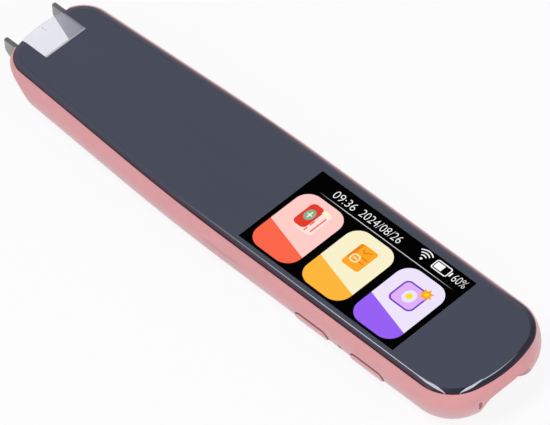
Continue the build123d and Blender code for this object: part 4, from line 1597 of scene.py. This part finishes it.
@dataclass
class Display:
    """What the display shows: a bar with the time and three tiles with pictures."""

    low: Point = (4.98, -12.18)
    high: Point = (49.1, 12.35)
    corner: float = 0.1
    panel_level: float = 10.708
    art_level: float = 10.716
    tile_width: float = 12.45
    tile_height: float = 18.3
    tile_radius: float = 3.6
    tile_middle: float = -2.3
    tile_places: tuple[float, ...] = (12.38, 26.8, 41.4)
    slant: Point = (-1.75, -5.05)
    book: Point = (-0.1, 1.5)
    notes: Point = (0.3, 0.8)
    picture: Point = (0.05, 0.4)
    bar_low: float = 8.75
    bar_high: float = 10.9
    bar_drift: float = 0.018
    words: tuple[tuple[str, str, float, float], ...] = (("time", "09:36", 11.1, 17.1),
                                                        ("date", "2024/08/26", 18.6, 30.0),
                                                        ("charge", "60%", 44.5, 48.0))
    rule_middle: Point = (27.65, 7.8)
    rule_size: Point = (38.5, 0.17)
    signal_middle: Point = (36.2, 9.4)
    signal_dot: float = 0.3
    signal_rings: tuple[float, ...] = (1.0, 1.75, 2.5)
    signal_line: float = 0.28
    signal_start: float = 48.0
    signal_sweep: float = 84.0
    cell_middle: Point = (41.1, 10.45)

    def build(self) -> None:
        """Builds the panel, the tiles, their pictures and the status bar."""
        middle = tuple((a + b) / 2 for a, b in zip(self.low, self.high))
        panel = FlatArt("display_panel", self.panel_level, middle)
        panel.card(0.0, 0.0, self.high[0] - self.low[0], self.high[1] - self.low[1], self.corner,
                   Finishes.panel).finish()
        tints = ((Finishes.blush, Finishes.coral), (Finishes.cream, Finishes.amber),
                 (Finishes.lavender, Finishes.violet))
        for number, (x, inks) in enumerate(zip(self.tile_places, tints), 1):
            tile = FlatArt(f"tile_{number}", self.art_level, (x, self.tile_middle))
            tile.split_card(self.tile_width, self.tile_height, self.tile_radius, *self.slant,
                            *inks).finish()
        self._book()
        self._notes()
        self._picture()
        self._status_bar()

    def _art(self, name: str, tile: int, middle: Point) -> FlatArt:
        """Starts the picture on a tile, its middle given from the tile's own."""
        return FlatArt(name, self.art_level, (self.tile_places[tile] + middle[0], middle[1]))

    def _book(self) -> None:
        """Picture on the first tile: a red book over its pages, with a tag."""
        art = self._art("tile_book", 0, self.book)
        art.card(1.0, -0.2, 4.4, 7.2, 0.9, Finishes.page, 2)
        art.card(2.5, -0.4, 0.35, 4.8, 0.15, Finishes.coral, 3)
        art.card(1.2, -0.8, 0.35, 1.5, 0.15, Finishes.coral, 3)
        art.card(1.2, -2.8, 0.35, 1.1, 0.15, Finishes.coral, 3)
        art.card(-0.8, 0.2, 3.5, 6.7, 1.2, Finishes.red, 4)
        art.lay(Flat.disc(1.3), -0.8, 0.5, Finishes.teal, 5, scale=(0.9, 1.2))
        art.card(-0.8, 0.5, 1.4, 0.3, 0.12, Finishes.cream, 6)
        art.card(-0.8, 0.5, 0.3, 1.9, 0.12, Finishes.cream, 6)
        art.card(1.5, 3.0, 1.7, 1.1, 0.15, Finishes.cream, 6)
        art.finish()

    def _notes(self) -> None:
        """Picture on the second tile: a sheet of notes with a tick and a bubble."""
        art = self._art("tile_notes", 1, self.notes)
        art.card(0.0, 0.0, 4.8, 6.6, 0.7, Finishes.orange, 2)
        art.card(-2.0, 0.8, 0.8, 4.6, 0.35, Finishes.brown, 3)
        art.card(0.5, 2.0, 1.9, 0.4, 0.15, Finishes.brown, 3, 35.0)
        art.card(-0.5, 1.75, 1.1, 0.4, 0.15, Finishes.brown, 3, -50.0)
        art.card(1.0, 0.3, 1.7, 0.4, 0.15, Finishes.brown, 3)
        art.card(1.1, -0.9, 1.5, 0.4, 0.15, Finishes.brown, 3)
        art.lay(Flat.frame(2.2, 2.2, 0.8, 0.3), -0.7, -0.7, Finishes.cream, 4)
        art.card(-0.7, -0.7, 1.0, 0.3, 0.12, Finishes.cream, 4)
        art.finish()

    def _picture(self) -> None:
        """Picture on the third tile: a framed sun with a star at its corner."""
        art = self._art("tile_picture", 2, self.picture)
        art.card(0.0, 0.0, 6.6, 6.6, 1.4, Finishes.plum, 2)
        art.card(0.0, 0.0, 5.8, 5.8, 1.1, Finishes.lilac, 3)
        art.lay(Flat.disc(1.6), 0.15, 0.0, Finishes.lavender, 4, scale=(0.95, 1.1))
        art.lay(Flat.disc(0.75), 0.1, 0.0, Finishes.yellow, 5)
        art.lay(Flat.star(1.7, 0.95, 7), 2.4, 2.7, Finishes.orange, 6)
        art.lay(Flat.disc(0.5), 2.4, 2.7, Finishes.yellow, 7)
        art.finish()

    def _status_bar(self) -> None:
        """The bar over the tiles: time, date, signal, battery and its charge."""
        for name, text, start, end in self.words:
            rise = (start - self.tile_places[0]) * self.bar_drift
            art = FlatArt(f"status_{name}", self.art_level)
            art.write(text, (start, self.bar_low + rise), (end, self.bar_high + rise),
                      Finishes.white).finish()
        rule = FlatArt("status_rule", self.art_level, self.rule_middle)
        rule.card(0.0, 0.0, *self.rule_size, 0.0, Finishes.rule).finish()
        signal = FlatArt("status_signal", self.art_level, self.signal_middle)
        signal.lay(Flat.disc(self.signal_dot), 0.0, 0.0, Finishes.white)
        for radius in self.signal_rings:
            signal.lay(Flat.arc(radius, self.signal_line, self.signal_sweep), 0.0, 0.0,
                       Finishes.white, turn=self.signal_start)
        signal.finish()
        cell = FlatArt("status_cell", self.art_level, self.cell_middle)
        cell.lay(Flat.frame(4.3, 2.7, 0.55, 0.26), 0.0, 0.0, Finishes.white)
        cell.card(-0.65, 0.0, 2.05, 1.65, 0.1, Finishes.white)
        cell.card(2.55, 0.0, 0.42, 1.2, 0.12, Finishes.white)
        cell.finish()


@dataclass
class ChargingEnd:
    """The contacts on the tongue of the charging port."""

    count: int = 12
    pitch: float = 0.5
    width: float = 0.26
    start: float = 61.9
    end: float = 65.2
    level: float = 3.87
    tongue: float = 0.7
    plate: float = 0.03
    edge: float = 0.008

    def build(self) -> None:
        """Builds twelve contacts on each side of the tongue."""
        shape = bmesh.new()
        for side in (-1, 1):
            face = self.level + side * self.tongue / 2
            low, high = sorted((face, face + side * self.plate))
            for number in range(self.count):
                y = (number - (self.count - 1) / 2) * self.pitch
                Bench.box(shape, (self.start, y - self.width / 2, low),
                          (self.end, y + self.width / 2, high), edge=self.edge)
        Bench.fix(Bench.piece("port_contacts", shape, [Finishes.brass]), Body.PEN, "contact")


@dataclass
class Sound:
    """The speaker's cone and the cloth behind the sound slots."""

    x: float = 18.45
    cone_size: Point = (14.4, 8.4)
    cone_radius: float = 1.4
    cone_level: float = 2.35
    cone_steps: tuple[Point, ...] = ((0.5, 0.0), (0.5, 0.3), (0.5, -0.3), (1.2, -0.2))
    cone_crease: float = 60.0
    cloth_size: Point = (14.6, 8.6)
    cloth_radius: float = 0.4
    cloth_level: float = 1.45

    def build(self) -> None:
        """Builds the cone, step by step from its rim to its middle, and the cloth."""
        cone = Flat.card(*self.cone_size, self.cone_radius)
        for inset, move in self.cone_steps:
            faces = [face for face in cone.faces if face.calc_area() > self.cone_size[1]]
            bmesh.ops.inset_region(cone, faces=faces, thickness=inset, use_boundary=True)
            bmesh.ops.translate(cone, vec=(0, 0, move), verts=list(faces[0].verts))
        made = self._face_back("speaker_cone", cone, self.cone_level, Finishes.cone)
        Bench.fix(Bench.smooth(made, self.cone_crease), Body.PEN, "speaker_frame")
        cloth = Flat.card(*self.cloth_size, self.cloth_radius)
        made = self._face_back("sound_cloth", cloth, self.cloth_level, Finishes.cloth)
        Bench.fix(made, Body.PEN, "foam")

    def _face_back(self, name: str, part: bmesh.types.BMesh, level: float,
                   finish: Finish) -> bpy.types.Object:
        """Makes a piece of a flat part that faces the back of the pen.

        Args:
            name: The piece's name.
            part: The part, in millimetres about the origin.
            level: Its height over the back.
            finish: Its finish.

        Returns:
            The piece.
        """
        part.transform(Matrix.Scale(MM, 4) @ Matrix.Translation((self.x, 0, level)))
        bmesh.ops.reverse_faces(part, faces=part.faces)
        return Bench.piece(name, part, [finish])


@dataclass
class BoardParts:
    """Small ceramic parts in rows along the main board."""

    level: float = 6.5
    length: float = 1.0
    width: float = 0.5
    height: float = 0.4
    dip: float = 0.02
    cap: float = 0.22
    rows: tuple[float, ...] = (-9.6, -8.2, 8.2, 9.6)
    start: float = 13.0
    end: float = 52.0
    pitch: float = 2.6

    def build(self) -> None:
        """Builds every part with its two tinned ends."""
        shape = bmesh.new()
        for y in self.rows:
            for number in range(int((self.end - self.start) / self.pitch)):
                self._part(shape, self.start + number * self.pitch, y)
        made = Bench.piece("board_parts", shape, [Finishes.ceramic, Finishes.tin])
        Bench.fix(made, Body.PEN, "chip")

    def _part(self, shape: bmesh.types.BMesh, x: float, y: float) -> None:
        """Adds one part: ceramic between two ends.

        Args:
            shape: The mesh that it joins.
            x: Its middle along the pen.
            y: Its middle across the pen.
        """
        half, side, top = self.length / 2, self.width / 2, self.level + self.height
        inner = half - self.cap
        for start, end, height, kind in ((-inner, inner, top - self.dip, 0),
                                         (-half, -inner, top, 1), (inner, half, top, 1)):
            Bench.box(shape, (x + start, y - side, self.level), (x + end, y + side, height), kind)


@dataclass
class Inside:
    """The CAD nodes that keep their own shape and get a finish."""

    nodes: dict[Finish, tuple[str, ...]] = field(default_factory=lambda: {
        Finishes.tape: ("glass_tape", "battery_tape"),
        Finishes.black: ("trigger_plunger", "camera_module", "speaker", "port_tongue",
                         "front_key_plunger", "rear_key_plunger"),
        Finishes.tin: ("trigger_switch", "front_key_switch", "rear_key_switch"),
        Finishes.board: ("trigger_board", "light_board", "main_board", "battery_board"),
        Finishes.flex: ("trigger_flex", "display_flex", "wifi_antenna", "head_flex",
                        "battery_flex"),
        Finishes.hood: ("optics_hood",),
        Finishes.guide: ("light_guide",),
        Finishes.lamp: ("scan_leds",),
        Finishes.panel: ("display_cell",),
        Finishes.epoxy: ("display_driver", "processor", "memory_chip"),
        Finishes.film: ("display_backlight",),
        Finishes.socket: ("display_connector", "head_connector", "battery_connector"),
        Finishes.chassis: ("mid_frame",),
        Finishes.screw: ("chassis_screws",),
        Finishes.shield: ("shield_can", "microphone"),
        Finishes.pouch: ("battery_cell",),
        Finishes.foam: ("foam_pad", "speaker_seal"),
        Finishes.brass: ("speaker_contacts",),
        Finishes.rubber: ("mic_boot",),
        Finishes.steel: ("port_shell",),
    })

    def build(self) -> None:
        """Gives each node its finish."""
        for finish, nodes in self.nodes.items():
            for node in nodes:
                for slot in frame["nodes"][node].material_slots:
                    slot.material = finish.material()
                LOG.info("%s is finished in %s", node, finish.name)


@dataclass
class Studio:
    """Camera, lamps, backdrop and floor."""

    azimuth: float = 46.48
    elevation: float = 48.83
    roll: float = -1.91
    target: Place = (6.35, -3.0, 11.5)
    distance: float = 1228.1
    lens: float = 390.3
    sensor: float = 36.0
    clip: Point = (0.05, 20.0)
    ambient: float = 0.5
    floor_size: float = 2.0
    floor_drop: float = 0.02
    lamps: tuple[tuple[str, Place, float, float], ...] = (
        ("key_lamp", (-0.25, -0.55, 1.15), 0.5, 6.0),
        ("fill_lamp", (0.9, -0.35, 0.6), 0.8, 4.5))

    def build(self) -> None:
        """Builds everything round the pen."""
        self._camera()
        self._world()
        self._floor()
        for lamp in self.lamps:
            self._lamp(*lamp)

    def _camera(self) -> None:
        """The camera at the angle from which the pen is shown."""
        turn, rise = math.radians(self.azimuth), math.radians(self.elevation)
        back = Vector((math.sin(turn) * math.cos(rise), -math.cos(turn) * math.cos(rise),
                       math.sin(rise)))
        data = bpy.data.cameras.new("camera")
        data.lens = self.lens
        data.sensor_width = self.sensor
        data.clip_start, data.clip_end = self.clip
        camera = bpy.data.objects.new("camera", data)
        camera.rotation_mode = "QUATERNION"
        camera.location = (Vector(self.target) + back * self.distance) * MM
        upright = (-back).to_track_quat("-Z", "Y")
        camera.rotation_quaternion = upright @ Quaternion((0, 0, 1), math.radians(self.roll))
        bpy.context.scene.collection.objects.link(camera)
        bpy.context.scene.camera = camera

    def _world(self) -> None:
        """White where it is seen, a plain level of light elsewhere."""
        world = bpy.data.worlds.new("studio")
        bpy.context.scene.world = world
        graph = Graph(world)
        lit, white = (graph.wire("ShaderNodeBackground", None, {"Color": WHITE, "Strength": level})
                      for level in (self.ambient, 1.0))
        graph.end(graph.either(graph.seen(), lit, white))

    def _floor(self) -> None:
        """A plain pale floor that keeps the pen's shadow."""
        shape = bmesh.new()
        bmesh.ops.create_grid(shape, x_segments=1, y_segments=1, size=self.floor_size / 2)
        bmesh.ops.translate(shape, vec=(0, 0, -self.floor_drop * MM), verts=shape.verts)
        Bench.piece("floor", shape, [Finishes.paper])

    @staticmethod
    def _lamp(name: str, place: Place, size: float, power: float) -> None:
        """Adds a square soft lamp that faces the pen.

        Args:
            name: Its name.
            place: Its place in metres.
            size: Length of its side.
            power: Its power in watts.
        """
        data = bpy.data.lights.new(name, "AREA")
        data.size = size
        data.energy = power
        lamp = bpy.data.objects.new(name, data)
        lamp.location = place
        lamp.rotation_euler = (-Vector(place)).to_track_quat("-Z", "Y").to_euler()
        bpy.context.scene.collection.objects.link(lamp)


def main() -> None:
    """Builds the pen and its studio."""
    logging.basicConfig(level=logging.INFO, format="%(name)s: %(message)s")
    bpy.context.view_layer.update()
    bpy.context.scene.view_settings.view_transform = "Standard"
    for assembly in (Studio(), Housing(), FrontGlass(), ScanTip(), Display(), ChargingEnd(),
                     Sound(), BoardParts(), Inside()):
        assembly.build()


if __name__ == "__main__":
    main()
